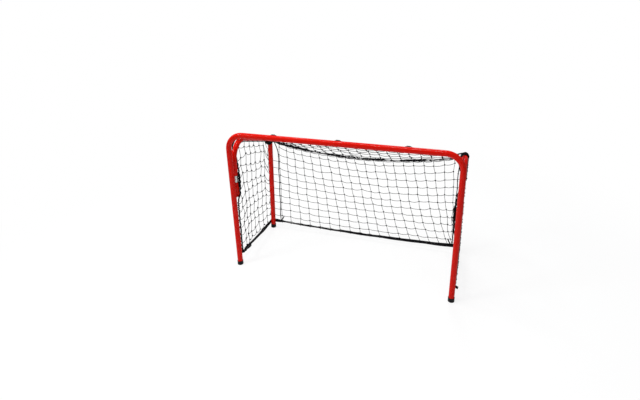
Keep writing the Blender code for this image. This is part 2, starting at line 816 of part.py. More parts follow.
def rear_tape():
    steps = TAPE_TWISTS * TWIST_STEPS
    path = [tape_point((2 * k / steps - 1) * TAPE_END) for k in range(steps + 1)]
    tilts = [math.pi * TAPE_TWISTS * k / steps for k in range(steps + 1)]
    return tape("rear_tape", path, TAPE_WIDTH, tilts=tilts)


def back_net_point(x, v):
    """The back net's surface: v runs from the strap, 0, to the tape, 1."""
    top = tape_point(x)
    top.z -= TAPE_WIDTH / 2 + EDGE_SPACE
    bottom = rear_strap_height(x) + STRAP_WIDTH / 2 + EDGE_SPACE
    height = bottom + (top.z - bottom) * v
    ease = rising(v, 1.5) * smooth((HALF - abs(x)) / CORNER_SPREAD)
    toward_tape = top.y - FRONT_Y - leg_back(top.z)
    behind = NET_BEHIND + (toward_tape - NET_BEHIND) * ease
    return Vector((x, FRONT_Y + leg_back(height) + behind, height))


def corner_cord(side):
    """The back net's edge cord, in front of the net: from the lashing down beside the rear leg."""
    leave = LASHING_REACH + CORNER_CORD_R + FIT
    hanging = RIGHT_CORNER_CORD_INBOARD if side == RIGHT else CORNER_CORD_INBOARD
    steps = 12
    path = []
    for k in range(steps + 1):
        v = 1 - k / steps
        inboard = leave + (hanging - leave) * smooth((1 - v) / CORNER_CORD_SPREAD)
        point = back_net_point(side * (HALF - inboard), v)
        point.y -= CORNER_CORD_R + NET_THICKNESS + STRAND / 2
        path.append(point)
    return cord("corner_cord_" + SIDE_NAMES[side], path, CORNER_CORD_R)


# Nets

def lattice(name, columns, rows, width, length, point, keep=lambda column, row: True):
    """A net of square meshes. point(u, v) gives the surface, and keep drops meshes at the edge."""
    net = bmesh.new()
    bmesh.ops.create_grid(net, x_segments=2 * columns + 1, y_segments=2 * rows + 1, size=0.5)
    lines_u = [(k // 2) / columns for k in range(2 * columns + 2)]
    lines_v = [(k // 2) / rows for k in range(2 * rows + 2)]
    half_u = STRAND / 2 / width
    half_v = STRAND / 2 / length
    place_of = {}
    for vert in net.verts:
        a = round((vert.co.x + 0.5) * (2 * columns + 1))
        b = round((vert.co.y + 0.5) * (2 * rows + 1))
        place_of[vert] = (a, b)
    empty = []
    for face in net.faces:
        a = min(place_of[vert][0] for vert in face.verts)
        b = min(place_of[vert][1] for vert in face.verts)
        near = [
            (column, row)
            for column in {(a - 1) // 2, a // 2}
            for row in {(b - 1) // 2, b // 2}
            if 0 <= column < columns and 0 <= row < rows
        ]
        is_gap = a % 2 == 1 and b % 2 == 1
        if is_gap or not any(keep(column, row) for column, row in near):
            empty.append(face)
    bmesh.ops.delete(net, geom=empty, context="FACES")
    for vert in net.verts:
        a, b = place_of[vert]
        u = lines_u[a] + (half_u if a % 2 else -half_u)
        v = lines_v[b] + (half_v if b % 2 else -half_v)
        vert.co = point(u, v)
    bmesh.ops.recalc_face_normals(net, faces=net.faces)
    mesh = bpy.data.meshes.new(name)
    net.to_mesh(mesh)
    net.free()
    piece = bpy.data.objects.new(name, mesh)
    body = piece.modifiers.new("cord", "SOLIDIFY")
    body.thickness = NET_THICKNESS
    body.offset = 0
    return place(piece, black_cord(name))


def back_net():
    half = HALF + NET_OVERHANG
    height = SIDE_REAR_HEIGHT - STRAP_REAR_HEIGHT
    columns = round(2 * half / MESH)
    rows = round(height / MESH)

    def point(u, v):
        return back_net_point((2 * u - 1) * half, v)

    def keep(column, row):
        return 0 < column < columns - 1 or row < rows - 1

    return lattice("net_back", columns, rows, 2 * half, height, point, keep)


def roof_net():
    """From the crossbar's cord, over the side frames' top bars, to the rear tape."""
    half = HALF - ROOF_EDGE
    length = GOAL_DEPTH - NET_EDGE_R
    columns = round(2 * half / MESH)
    rows = round(length / MESH)
    clear = TUBE_R + FIT + 2 * NET_THICKNESS
    lift = clear / math.cos(BAR_SLOPE)
    crown = max(p.z for p in SIDE_PROFILE) + clear

    def over_bars(x, back):
        height = bar_height(back) + lift
        beside_bend = HALF - abs(x) < FRONT_BEND / 2
        return min(height, crown) if beside_bend else height

    def point(u, v):
        x = (2 * u - 1) * half
        angle = edge_angle(x)
        front_back = max(NET_BEHIND, NET_EDGE_R * math.sin(angle))
        front = front_line_height(x) - NET_EDGE_R * math.cos(angle)
        tape_place = tape_point(x)
        rear_back = tape_place.y - FRONT_Y - TAPE_WIDTH / 2 - EDGE_SPACE
        back = front_back + (rear_back - front_back) * v
        taut = front + (over_bars(x, back) - front) * smooth((back - front_back) / HINGE_SETBACK)
        to_tape = rising(v, 2) * smooth((HALF - abs(x)) / MESH)
        height = taut - (over_bars(x, rear_back) - tape_place.z) * to_tape
        return Vector((x, FRONT_Y + back, height))

    def keep(column, row):
        return 0 < column < columns - 1 or row < rows - 1

    return lattice("net_roof", columns, rows, 2 * half, length, point, keep)


def side_net(side):
    """From the post's cord past the short leg, and outside the bar and the rear leg."""
    start = NET_EDGE_R * math.sin(POST_NET_ANGLE)
    edge = NET_EDGE_R * math.cos(POST_NET_ANGLE) * (-1 if side == RIGHT else 1)
    outside = TUBE_R + FIT + NET_THICKNESS / 2 + FIT
    end = leg_back(STRAP_REAR_HEIGHT)
    height = SIDE_FRONT_HEIGHT - STRAP_FRONT_HEIGHT
    columns = round((end - start) / MESH)
    rows = round(height / MESH)
    below_screw = SOCKET_BOTTOM - 4 * FIT - WASHER_THICKNESS - SCREW_HEAD - STRAND
    front_bottom = STRAP_FRONT_HEIGHT + RING_R + RING_WIRE + STRAND
    rear_bottom = STRAP_REAR_HEIGHT + STRAP_WIDTH / 2 + STRAND

    def top_height(back):
        tuck = REAR_TUCK * smooth((back - GOAL_DEPTH + TUCK_AHEAD) / TUCK_LENGTH)
        return frame_height(max(back, HINGE_SETBACK + TUBE_R)) + STRAND - tuck

    def point(u, v):
        flat_back = start + (end - start) * u
        bottom = front_bottom + (rear_bottom - front_bottom) * u
        z = bottom + (top_height(flat_back) - bottom) * v
        back = start + (leg_back(z) - start) * u
        low_inboard = edge - (edge + outside) * smooth(2 * u)
        rise = smooth((v - RISE_START) / RISE_SHARE) * min(1, max(0, u * columns))
        return goal_point(side, low_inboard - (low_inboard + outside) * rise, back, z)

    def keep(column, row):
        return column > 0 or point(0, (row + 1) / rows).z < below_screw

    name = "net_side_" + SIDE_NAMES[side]
    return lattice(name, columns, rows, end - start, height, point, keep)


# The goal

hollow_tube("front_tube", front_path())
crossbar_cord()
rear_tape()
rear_strap()
roof_net()
back_net()
for number in (1, 2, 3):
    net_clip(number)

for side in (LEFT, RIGHT):
    word = SIDE_NAMES[side]
    foot_cap("post_foot_" + word, goal_point(side, 0, 0, 0), Vector((0, 0, 1)))
    socket(side)
    strap_staple(side)
    post_loop(side)
    strap_ring(side)
    post_cord(side)

    hinge = bpy.data.objects.new("hinge_" + word, None)
    hinge.location = goal_point(side, 0, HINGE_SETBACK, 0)
    PARTS.objects.link(hinge)
    bpy.context.view_layer.update()
    swinging = [
        hollow_tube("side_tube_" + word, side_frame_path(side)),
        spigot(side),
        retaining_washer(side),
        retaining_screw(side),
        rear_foot(side),
        bar_cord(side),
        corner_lashing(side),
        corner_cord(side),
        side_strap(side),
        side_net(side),
    ]
    for piece in swinging:
        ride(piece, hinge)
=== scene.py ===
import bpy
import math
import random
from mathutils import Matrix
from mathutils import Vector


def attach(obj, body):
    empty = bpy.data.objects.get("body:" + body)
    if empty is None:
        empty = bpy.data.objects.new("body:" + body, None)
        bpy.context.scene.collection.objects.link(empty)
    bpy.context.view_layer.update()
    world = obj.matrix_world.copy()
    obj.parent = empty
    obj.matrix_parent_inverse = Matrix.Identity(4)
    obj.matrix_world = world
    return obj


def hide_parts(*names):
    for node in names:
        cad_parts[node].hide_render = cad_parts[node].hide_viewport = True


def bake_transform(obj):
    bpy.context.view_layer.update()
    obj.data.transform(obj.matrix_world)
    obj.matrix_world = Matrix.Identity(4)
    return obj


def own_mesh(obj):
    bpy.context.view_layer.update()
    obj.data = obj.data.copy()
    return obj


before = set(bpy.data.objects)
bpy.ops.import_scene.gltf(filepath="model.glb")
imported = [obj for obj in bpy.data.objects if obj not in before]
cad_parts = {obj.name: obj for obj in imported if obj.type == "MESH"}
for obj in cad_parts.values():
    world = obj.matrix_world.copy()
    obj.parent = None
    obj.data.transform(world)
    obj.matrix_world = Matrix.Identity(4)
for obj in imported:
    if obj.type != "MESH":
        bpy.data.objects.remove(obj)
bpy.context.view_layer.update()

scene = bpy.context.scene

# Stage: a pale paper floor that the camera sees as nearly white, with the goal's soft shadow, in
# a white room. Four lamps light it: a disc at the left front, a long strip overhead, a weak fill
# at the right and a disc behind.

def add(tree, kind, inputs=None, **settings):
    """A node with its settings. Its inputs are values or other nodes' outputs."""
    node = tree.nodes.new("ShaderNode" + kind)
    for key, value in settings.items():
        setattr(node, key, value)
    for key, value in (inputs or {}).items():
        if isinstance(value, bpy.types.NodeSocket):
            tree.links.new(value, node.inputs[key])
        else:
            node.inputs[key].default_value = value
    return node


def new_material(name, **settings):
    """A material whose Principled shader has these plain values, and its node tree."""
    material = bpy.data.materials.new(name)
    material.use_nodes = True
    shader = material.node_tree.nodes["Principled BSDF"]
    for key, value in settings.items():
        shader.inputs[key.replace("_", " ")].default_value = value
    return material, material.node_tree, shader


def mixed(tree, factor, low, high):
    """A colour between two, by a factor."""
    node = add(tree, "Mix", {"Factor": factor, 6: (*low, 1), 7: (*high, 1)}, data_type="RGBA")
    return node.outputs[2]


def ranged(tree, value, low, high, start=0.0, end=1.0, **settings):
    inputs = {"Value": value, "From Min": start, "From Max": end, "To Min": low, "To Max": high}
    return add(tree, "MapRange", inputs, **settings).outputs["Result"]


def arithmetic(tree, operation, a, b=0.0):
    return add(tree, "Math", {0: a, 1: b}, operation=operation).outputs[0]


def noise(tree, place, scale, detail=2.0, roughness=0.5):
    inputs = {"Vector": place, "Scale": scale, "Detail": detail, "Roughness": roughness}
    return add(tree, "TexNoise", inputs).outputs["Fac"]


def seen_directly(tree):
    """1 for what the camera or clear glass shows, and less for a reflection."""
    ray = add(tree, "LightPath").outputs
    gloss = arithmetic(tree, "MULTIPLY", ray["Is Glossy Ray"], 0.4)
    camera_or_gloss = arithmetic(tree, "MAXIMUM", ray["Is Camera Ray"], gloss)
    return arithmetic(tree, "MAXIMUM", camera_or_gloss, ray["Is Transmission Ray"])


scene.view_settings.view_transform = "Standard"
world = bpy.data.worlds.new("studio")
scene.world = world
world.use_nodes = True
studio = world.node_tree
studio.nodes.clear()
room = add(studio, "Background", {"Color": (0.90, 0.95, 1.0, 1), "Strength": 0.16})
white = add(studio, "Background", {"Color": (1, 1, 1, 1), "Strength": 1.0})
both = add(studio, "MixShader", {"Fac": seen_directly(studio), 1: room.outputs[0], 2: white.outputs[0]})
add(studio, "OutputWorld", {"Surface": both.outputs[0]})

bpy.ops.object.select_all(action="DESELECT")
bpy.ops.mesh.primitive_plane_add(size=60, location=(0, 0, -0.0004))
floor = bpy.context.object
floor.name = "studio_floor"
paper, tree, shader = new_material("studio_paper", Roughness=0.9, Specular_IOR_Level=0.0)
spot = add(tree, "TexCoord").outputs["Object"]
tone = mixed(tree, noise(tree, spot, 3.0), (0.93, 0.93, 0.93), (0.96, 0.96, 0.96))
tree.links.new(tone, shader.inputs["Base Color"])
glow = add(tree, "Emission", {"Color": (1, 1, 1, 1), "Strength": 1.0})
away = add(tree, "VectorMath", {0: spot}, operation="LENGTH").outputs["Value"]
bare = ranged(tree, away, 0.80, 1.0, 0.6, 1.8, interpolation_type="SMOOTHSTEP")
share = arithmetic(tree, "MULTIPLY", add(tree, "LightPath").outputs["Is Camera Ray"], bare)
lit = add(tree, "MixShader", {"Fac": share, 1: shader.outputs[0], 2: glow.outputs[0]})
tree.links.new(lit.outputs[0], tree.nodes["Material Output"].inputs["Surface"])
floor.data.materials.append(paper)


def softbox(name, place, size, watts, depth=None):
    """An area lamp that faces the goal: a disc, or a strip with a depth of its own."""
    lamp = bpy.data.lights.new(name, "AREA")
    lamp.shape = "RECTANGLE" if depth else "DISK"
    lamp.size = size
    if depth:
        lamp.size_y = depth
    lamp.energy = watts
    holder = bpy.data.objects.new(name, lamp)
    holder.location = place
    holder.rotation_euler = (Vector((0, 0, 0.3)) - Vector(place)).to_track_quat("-Z", "Y").to_euler()
    scene.collection.objects.link(holder)


softbox("key_light", (-1.9, -1.6, 2.3), 0.8, 37)
softbox("strip_light", (-0.45, -0.5, 2.7), 2.4, 52, 0.22)
softbox("fill_light", (2.0, -1.8, 1.3), 1.6, 5)
softbox("back_light", (0.2, 1.6, 2.8), 1.0, 34)


# Camera: fitted to the goal's feet, bends and corners in the photograph, which was cropped, so
# the middle of the lens isn't the middle of the picture. Angles are in radians.

PHOTO_WIDTH, PHOTO_HEIGHT = 640, 400
focal_pixels = 437.6
lens_column, lens_row = 338.0, 159.75
yaw, pitch, roll = -0.3011, 0.3580, -0.0111
camera_place = (0.4484, -1.6145, 1.0906)

ahead = Vector((math.sin(yaw) * math.cos(pitch), math.cos(yaw) * math.cos(pitch), -math.sin(pitch)))
level = Vector((math.cos(yaw), -math.sin(yaw), 0))
upright = level.cross(ahead)
across = level * math.cos(roll) + upright * math.sin(roll)
over = upright * math.cos(roll) - level * math.sin(roll)
turned = Matrix((across, over, -ahead)).transposed().to_4x4()
lens = bpy.data.cameras.new("photo_camera")
lens.sensor_width = 36
lens.lens = focal_pixels / PHOTO_WIDTH * lens.sensor_width
lens.shift_x = (PHOTO_WIDTH / 2 - lens_column) / PHOTO_WIDTH
lens.shift_y = (lens_row - PHOTO_HEIGHT / 2) / PHOTO_WIDTH
camera = bpy.data.objects.new("photo_camera", lens)
camera.matrix_world = Matrix.Translation(camera_place) @ turned
scene.collection.objects.link(camera)
scene.camera = camera


# Front frame: one steel tube, 22 mm across, bent into two posts and a crossbar. It is powder
# coated red, goes slightly oval in its two bends, and stands in a plastic foot at each end.

UP = Vector((0, 0, 1))
ACROSS = Vector((1, 0, 0))
BACKWARD = Vector((0, 1, 0))
LEFT, RIGHT = -1, 1
NAMES = {LEFT: "left", RIGHT: "right"}
HALF = 0.447                # from the middle to the line of a post
FRONT_Y = -0.181682         # the front frame's plane
CROSSBAR_HEIGHT = 0.590
POST_BEND = 0.062
TUBE_R = 0.0111
TUBE_WALL = 0.0012
TUBE_FOOT = 0.0033          # its ends stand this high in their feet
BEND_STEP = math.radians(4)
OVAL = (1.006, 0.972)       # the tube's two widths in a bend, as shares


def surfaced(tree, shader, colour, rough, height, strength, distance):
    """The shader's colour, roughness and bump."""
    bump = add(tree, "Bump", {"Height": height, "Strength": strength, "Distance": distance})
    tree.links.new(colour, shader.inputs["Base Color"])
    tree.links.new(rough, shader.inputs["Roughness"])
    tree.links.new(bump.outputs[0], shader.inputs["Normal"])


def new_group(name, inputs, output):
    """A node group with these inputs, given as names and kinds, and one number as its output."""
    group = bpy.data.node_groups.new(name, "ShaderNodeTree")
    for title, kind in inputs.items():
        group.interface.new_socket(title, in_out="INPUT", socket_type="NodeSocket" + kind)
    group.interface.new_socket(output, in_out="OUTPUT", socket_type="NodeSocketFloat")
    given = group.nodes.new("NodeGroupInput").outputs
    return group, given, group.nodes.new("NodeGroupOutput").inputs[0]


def wear_group():
    """Fine scuffs: thin stretched streaks that show in patches."""
    group, given, result = new_group("handling_scuffs", {"Vector": "Vector"}, "Scuff")
    long = add(group, "Mapping", {"Vector": given[0], "Scale": (1.0, 1.0, 0.16)}).outputs[0]
    thin = ranged(group, noise(group, long, 260.0, 3.0, 0.6), 0.0, 1.0, 0.60, 0.72)
    some = ranged(group, noise(group, given[0], 14.0), 0.0, 1.0, 0.50, 0.70)
    group.links.new(arithmetic(group, "MULTIPLY", thin, some), result)
    return group


SCUFFS = wear_group()


def scuffs(tree, place):
    return add(tree, "Group", {0: place}, node_tree=SCUFFS).outputs[0]


def rougher(tree, rough, scuff, amount):
    return arithmetic(tree, "ADD", rough, arithmetic(tree, "MULTIPLY", scuff, amount))


def powder_coat():
    """Glossy red powder coat with a faint orange peel."""
    material, tree, shader = new_material("red_powder_coat", Coat_Weight=0.16, Coat_Roughness=0.10,
                                          Specular_IOR_Level=0.02)
    place = add(tree, "TexCoord").outputs["Object"]
    cloud = noise(tree, place, 9.0, 3.0)
    scuff = scuffs(tree, place)
    colour = mixed(tree, cloud, (0.53, 0.003, 0.0002), (0.61, 0.006, 0.0005))
    paler = arithmetic(tree, "MULTIPLY", scuff, 0.25)
    worn = add(tree, "Mix", {"Factor": paler, 6: colour, 7: (0.80, 0.16, 0.10, 1)}, data_type="RGBA")
    rough = rougher(tree, ranged(tree, cloud, 0.24, 0.34), scuff, 0.2)
    peel = noise(tree, place, 420.0, 2.0, 0.45)
    surfaced(tree, shader, worn.outputs[2], rough, peel, 0.10, 0.0004)
    return material


RED = powder_coat()


class Shape:
    """Points, faces and UVs of one piece."""

    def __init__(self):
        self.points = []
        self.faces = []
        self.uvs = []

    def ring(self, points):
        first = len(self.points)
        self.points.extend(points)
        return list(range(first, first + len(points)))

    def face(self, corners, uvs):
        self.faces.append(corners)
        self.uvs.extend(uvs)

    def bridge(self, low, high, us, v_low, v_high):
        """Quads between two rings of the same length."""
        for k in range(len(low)):
            after = (k + 1) % len(low)
            self.face(
                (low[k], low[after], high[after], high[k]),
                ((us[k], v_low), (us[k + 1], v_low), (us[k + 1], v_high), (us[k], v_high)),
            )

    def block(self, ends, us, length, outline):
        """A straight length between two rings, closed at both ends."""
        self.bridge(ends[0], ends[1], us, 0, length)
        self.face(tuple(reversed(ends[0])), outline)
        self.face(tuple(ends[1]), outline)


def piece(node, made, shape, material, body=None, crease=40):
    """One finished piece in place of a CAD node. Its name says how it was made."""
    mesh = bpy.data.meshes.new(node + "_" + made)
    mesh.from_pydata(shape.points, [], shape.faces)
    layer = mesh.uv_layers.new(name="lengths")
    layer.data.foreach_set("uv", [number for uv in shape.uvs for number in uv])
    mesh.shade_smooth()
    mesh.set_sharp_from_angle(angle=math.radians(crease))
    mesh.materials.append(material)
    obj = bpy.data.objects.new(mesh.name, mesh)
    scene.collection.objects.link(obj)
    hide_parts(node)
    if body:
        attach(obj, body)
    return obj


def circle(radius, sides):
    angles = [math.tau * k / sides for k in range(sides)]
    return [(radius * math.cos(angle), radius * math.sin(angle)) for angle in angles]


def frames_along(path, up, closed):
    """A direction across and one out at each point, turned as little as the path allows."""
    count = len(path)
    frames = []
    side = None
    for k in range(count):
        before = path[k - 1] if k or closed else path[k]
        after = path[(k + 1) % count] if k + 1 < count or closed else path[k]
        heading = (after - before).normalized()
        if side is None:
            side = up.cross(heading)
            if side.length < 0.1:
                side = ACROSS.cross(heading)
        side = (side - heading * side.dot(heading)).normalized()
        frames.append((side, heading.cross(side)))
    return frames


def sweep(shape, path, outline, up=UP, closed=False, caps=True, tilts=None, grows=None, lengths=False):
    """An outline carried along a path. U is the share round it, or metres, and V is metres along."""
    sides = len(outline)
    us = [k / sides for k in range(sides + 1)]
    if lengths:
        us = [0.0]
        for a, b in zip(outline, outline[1:] + outline[:1]):
            us.append(us[-1] + math.dist(a, b))
    rings = []
    for k, (point, (side, out)) in enumerate(zip(path, frames_along(path, up, closed))):
        turn = tilts[k] if tilts else 0.0
        wide, tall = grows[k] if grows else (1.0, 1.0)
        a = side * math.cos(turn) + out * math.sin(turn)
        b = out * math.cos(turn) - side * math.sin(turn)
        rings.append(shape.ring([point + a * x * wide + b * y * tall for x, y in outline]))
    run = 0.0
    for k in range(len(path) if closed else len(path) - 1):
        after = (k + 1) % len(path)
        step = (path[after] - path[k]).length
        shape.bridge(rings[k], rings[after], us, run, run + step)
        run += step
    if caps and not closed:
        shape.face(tuple(reversed(rings[0])), list(reversed(outline)))
        shape.face(tuple(rings[-1]), outline)


def rounded_path(corners, radii, step):
    """The corners joined by straight runs, each inner corner rounded to its radius."""
    points = [corners[0]]
    for before, corner, after, radius in zip(corners, corners[1:], corners[2:], radii):
        arrive = (before - corner).normalized()
        leave = (after - corner).normalized()
        half = arrive.angle(leave) / 2
        start = corner + arrive * radius / math.tan(half)
        centre = corner + (arrive + leave).normalized() * radius / math.sin(half)
        bend = math.pi - 2 * half
        axis = (-arrive).cross(leave).normalized()
        steps = math.ceil(bend / step)
        for k in range(steps + 1):
            points.append(centre + Matrix.Rotation(bend * k / steps, 3, axis) @ (start - centre))
    points.append(corners[-1])
    return points


def goal_point(side, inboard, back, height):
    """A point by its distance inside a post, behind the front plane and above the ground."""
    return Vector((side * (HALF - inboard), FRONT_Y + back, height))


FRONT_PATH = rounded_path(
    [goal_point(LEFT, 0, 0, TUBE_FOOT), goal_point(LEFT, 0, 0, CROSSBAR_HEIGHT),
     goal_point(RIGHT, 0, 0, CROSSBAR_HEIGHT), goal_point(RIGHT, 0, 0, TUBE_FOOT)],
    [POST_BEND, POST_BEND], BEND_STEP,
)


def bent_tube(shape, path, plane):
    """A hollow tube, a little oval where it bends."""
    grows = []
    for k, point in enumerate(path):
        before = point - path[max(0, k - 1)]
        after = path[min(len(path) - 1, k + 1)] - point
        bends = before.length > 0 and after.length > 0 and before.angle(after) > 0.01
        grows.append(OVAL if bends else (1.0, 1.0))
    sweep(shape, path, circle(TUBE_R, 36), up=plane, caps=False, grows=grows)
    ends = ((path[0], path[0] - path[1]), (path[-1], path[-1] - path[-2]))
    for end, heading in ends:
        inside = [end, end - heading.normalized() * 0.02]
        sweep(shape, inside, circle(TUBE_R - TUBE_WALL, 36), up=plane)


def eased(path):
    """Straight runs get a point just before and after each bend, so the oval fades in."""
    out = [path[0]]
    for a, b in zip(path, path[1:]):
        if (b - a).length > 0.03:
            out += [a.lerp(b, 0.01 / (b - a).length), a.lerp(b, 1 - 0.01 / (b - a).length)]
        out.append(b)
    return out


shape = Shape()
bent_tube(shape, eased(FRONT_PATH), ACROSS)
piece("front_tube", "coated", shape, RED, "front_frame")


# Side frames: one bent and coated steel tube each. A short front leg hangs on the pivot, the top
# bar slopes down to the rear corner, and the rear leg leans and stands in its own foot.

HINGE_BACK = 0.028          # the pivot's line behind the front plane
LEG_END = 0.407             # the front leg's lower end
BAR_FRONT, BAR_REAR = 0.567, 0.461
DEPTH = 0.365               # front plane to the rear corner
REAR_FOOT_BACK = 0.340
LEG_LEAN = DEPTH - REAR_FOOT_BACK
FRONT_BEND, REAR_BEND = 0.075, 0.045


def leg_back(height):
    """How far the rear leg's line is behind the front plane."""
    return REAR_FOOT_BACK + LEG_LEAN * height / BAR_REAR


SIDE_PROFILE = rounded_path(
    [Vector((0, HINGE_BACK, LEG_END)), Vector((0, HINGE_BACK, BAR_FRONT)), Vector((0, DEPTH, BAR_REAR)),
     Vector((0, leg_back(TUBE_FOOT), TUBE_FOOT))],
    [FRONT_BEND, REAR_BEND], BEND_STEP,
)


def side_frame_path(side):
    return [p + Vector((side * HALF, FRONT_Y, 0)) for p in SIDE_PROFILE]


for side, word in NAMES.items():
    shape = Shape()
    bent_tube(shape, eased(side_frame_path(side)), BACKWARD)
    piece(f"side_tube_{word}", "coated", shape, RED, word + "_side")


# Hinge sockets: a short steel tube behind each post on a flat web, welded along the web's edges
# and coated red with the frame. The pivot turns in its bore.

def lathe(shape, profile, place, steps, lean=None):
    """A turned form. The profile is (radius, height), from the bottom up on the outside."""
    us = [k / steps for k in range(steps + 1)]
    rings = []
    for radius, height in profile:
        centre, turn = lean(height) if lean else (place + UP * height, Matrix.Identity(3))
        ring = circle(max(radius, 1e-5), steps)
        rings.append(shape.ring([centre + turn @ Vector((x, y, 0)) for x, y in ring]))
    run = 0.0
    for low, high, a, b in zip(rings, rings[1:], profile, profile[1:]):
        step = math.dist(a, b)
        shape.bridge(low, high, us, run, run + step)
        run += step


def bead(shape, low, high, radius, seed):
    """A weld bead: overlapping ripples along a seam."""
    draw = random.Random(seed)
    steps = 40
    path = [low.lerp(high, k / steps) for k in range(steps + 1)]
    grows = []
    for k in range(steps + 1):
        fade = min(1.0, 0.35 + min(k, steps - k) / 4)
        size = fade * (0.88 + 0.16 * abs(math.sin(k * 0.9)) + draw.uniform(-0.05, 0.05))
        grows.append((size, size))
    sweep(shape, path, circle(radius, 10), up=ACROSS, grows=grows)


SOCKET_R, BORE_R = 0.0122, 0.0083
SOCKET_LOW, SOCKET_HIGH = 0.3144, 0.3774
EDGE = 0.0006               # the turned edges are broken by this much
SOCKET = [(BORE_R + 0.0004, SOCKET_LOW), (SOCKET_R - EDGE, SOCKET_LOW), (SOCKET_R, SOCKET_LOW + EDGE),
          (SOCKET_R, SOCKET_HIGH - EDGE), (SOCKET_R - EDGE, SOCKET_HIGH), (BORE_R + EDGE, SOCKET_HIGH),
          (BORE_R, SOCKET_HIGH - EDGE), (BORE_R, SOCKET_LOW + 0.0004), (BORE_R + 0.0004, SOCKET_LOW)]

for side, word in NAMES.items():
    shape = Shape()
    lathe(shape, SOCKET, goal_point(side, 0, HINGE_BACK, 0), 44)
    middle = (SOCKET_LOW + SOCKET_HIGH) / 2
    half_web = 0.025
    web = [goal_point(side, 0, 0, middle - half_web), goal_point(side, 0, 0, middle + half_web)]
    outline = [(-0.004, 0.0101), (0.004, 0.0101), (0.004, 0.0168), (-0.004, 0.0168)]
    ends = [shape.ring([end + Vector((x, y, 0)) for x, y in outline]) for end in web]
    shape.block(ends, [0, 0.2, 0.5, 0.7, 1], 2 * half_web, outline)
    for x in (-0.0040, 0.0040):
        for y in (0.0105, 0.0164):
            base = goal_point(side, 0, 0, middle) + Vector((x, y, 0))
            run = UP * (half_web + 0.0015)
            bead(shape, base - run, base + run, 0.0014, word + str(x + y))
    for z in (-0.0255, 0.0255):
        for y in (0.0105, 0.0164):
            base = goal_point(side, 0, y, middle + z)
            run = Vector((0.0045, 0, 0))
            bead(shape, base - run, base + run, 0.0013, word + str(y + z))
    piece(f"hinge_socket_{word}", "welded", shape, RED, "front_frame", 50)


# Pivots: a spigot turned from steel and zinc plated, pressed into the side frame's leg. Its thick
# collar shows above the socket, its journal turns in it, and a washer and a screw hold it below.

def zinc_plate():
    """Bright zinc with fine turning marks and a slight haze."""
    material, tree, shader = new_material("zinc_plate", Metallic=1.0)
    place = add(tree, "TexCoord").outputs["Object"]
    haze = noise(tree, place, 160.0, 4.0)
    rings = add(tree, "TexWave", {"Vector": place, "Scale": 420.0, "Distortion": 0.6, "Detail": 1.0},
                wave_type="BANDS", bands_direction="Z").outputs["Fac"]
    colour = mixed(tree, haze, (0.52, 0.53, 0.51), (0.68, 0.68, 0.64))
    rough = rougher(tree, ranged(tree, haze, 0.36, 0.52), scuffs(tree, place), 0.2)
    surfaced(tree, shader, colour, rough, rings, 0.25, 0.0001)
    return material


ZINC = zinc_plate()

SPIGOT = [(0, 0.3138), (0.0070, 0.3138), (0.0080, 0.3148), (0.0080, 0.3777), (0.0107, 0.3777),
          (0.0111, 0.3781), (0.0111, 0.3815), (0.01075, 0.3818), (0.01075, 0.3826), (0.0111, 0.3829),
          (0.0111, 0.4063), (0.0107, 0.4067), (0.0096, 0.4067), (0.0096, 0.446), (0.0086, 0.447),
          (0, 0.447)]
WASHER = [(0.0033, 0.3119), (0.0107, 0.3119), (0.0110, 0.3122), (0.0110, 0.3132), (0.0107, 0.3135),
          (0.0033, 0.3135), (0.0033, 0.3119)]
SCREW = [(0.0, 0.3095), (0.0022, 0.3095), (0.0026, 0.3083), (0.0040, 0.3083), (0.0052, 0.3092),
         (0.0058, 0.3103), (0.0058, 0.3116), (0.0055, 0.3117), (0.003, 0.3117), (0.003, 0.3298),
         (0, 0.3298)]

for side, word in NAMES.items():
    for node, made, profile, steps in (("pivot_spigot", "turned", SPIGOT, 44),
                                       ("retaining_washer", "plated", WASHER, 40),
                                       ("retaining_screw", "plated", SCREW, 30)):
        shape = Shape()
        lathe(shape, profile, goal_point(side, 0, HINGE_BACK, 0), steps)
        piece(f"{node}_{word}", made, shape, ZINC, word + "_side", 30)


# Feet: cups moulded from black plastic and pushed over the ends of the tubes, with a rolled lip
# and a rounded sole. The rear ones have a level sole under the leaning leg.

def black_plastic():
    """Moulded black plastic: fine grain, dusty and scuffed near the ground."""
    material, tree, shader = new_material("black_plastic", Specular_IOR_Level=0.12)
    place = add(tree, "TexCoord").outputs["Object"]
    grain = noise(tree, place, 2600.0)
    low = ranged(tree, add(tree, "SeparateXYZ", {0: place}).outputs[2], 1.0, 0.0, 0.0, 0.006)
    dust = arithmetic(tree, "MULTIPLY", low, noise(tree, place, 500.0))
    colour = mixed(tree, dust, (0.005, 0.005, 0.006), (0.045, 0.043, 0.040))
    rough = rougher(tree, ranged(tree, grain, 0.34, 0.46), scuffs(tree, place), 0.25)
    surfaced(tree, shader, colour, rough, grain, 0.25, 0.0001)
    return material


PLASTIC = black_plastic()
FOOT_PROFILE = [(0, 0.0006), (0.0068, 0.0006), (0.0072, 0.0), (0.0107, 0.0), (0.0118, 0.0004),
                (0.0125, 0.0012), (0.0127, 0.0024), (0.0126, 0.0060), (0.0124, 0.0110), (0.0124, 0.0150),
                (0.0127, 0.0158), (0.0127, 0.0173), (0.0124, 0.0179), (0.0117, 0.0180), (0.0113, 0.0176),
                (0.0113, 0.0100)]


def smooth(value):
    value = min(1.0, max(0.0, value))
    return value * value * (3 - 2 * value)


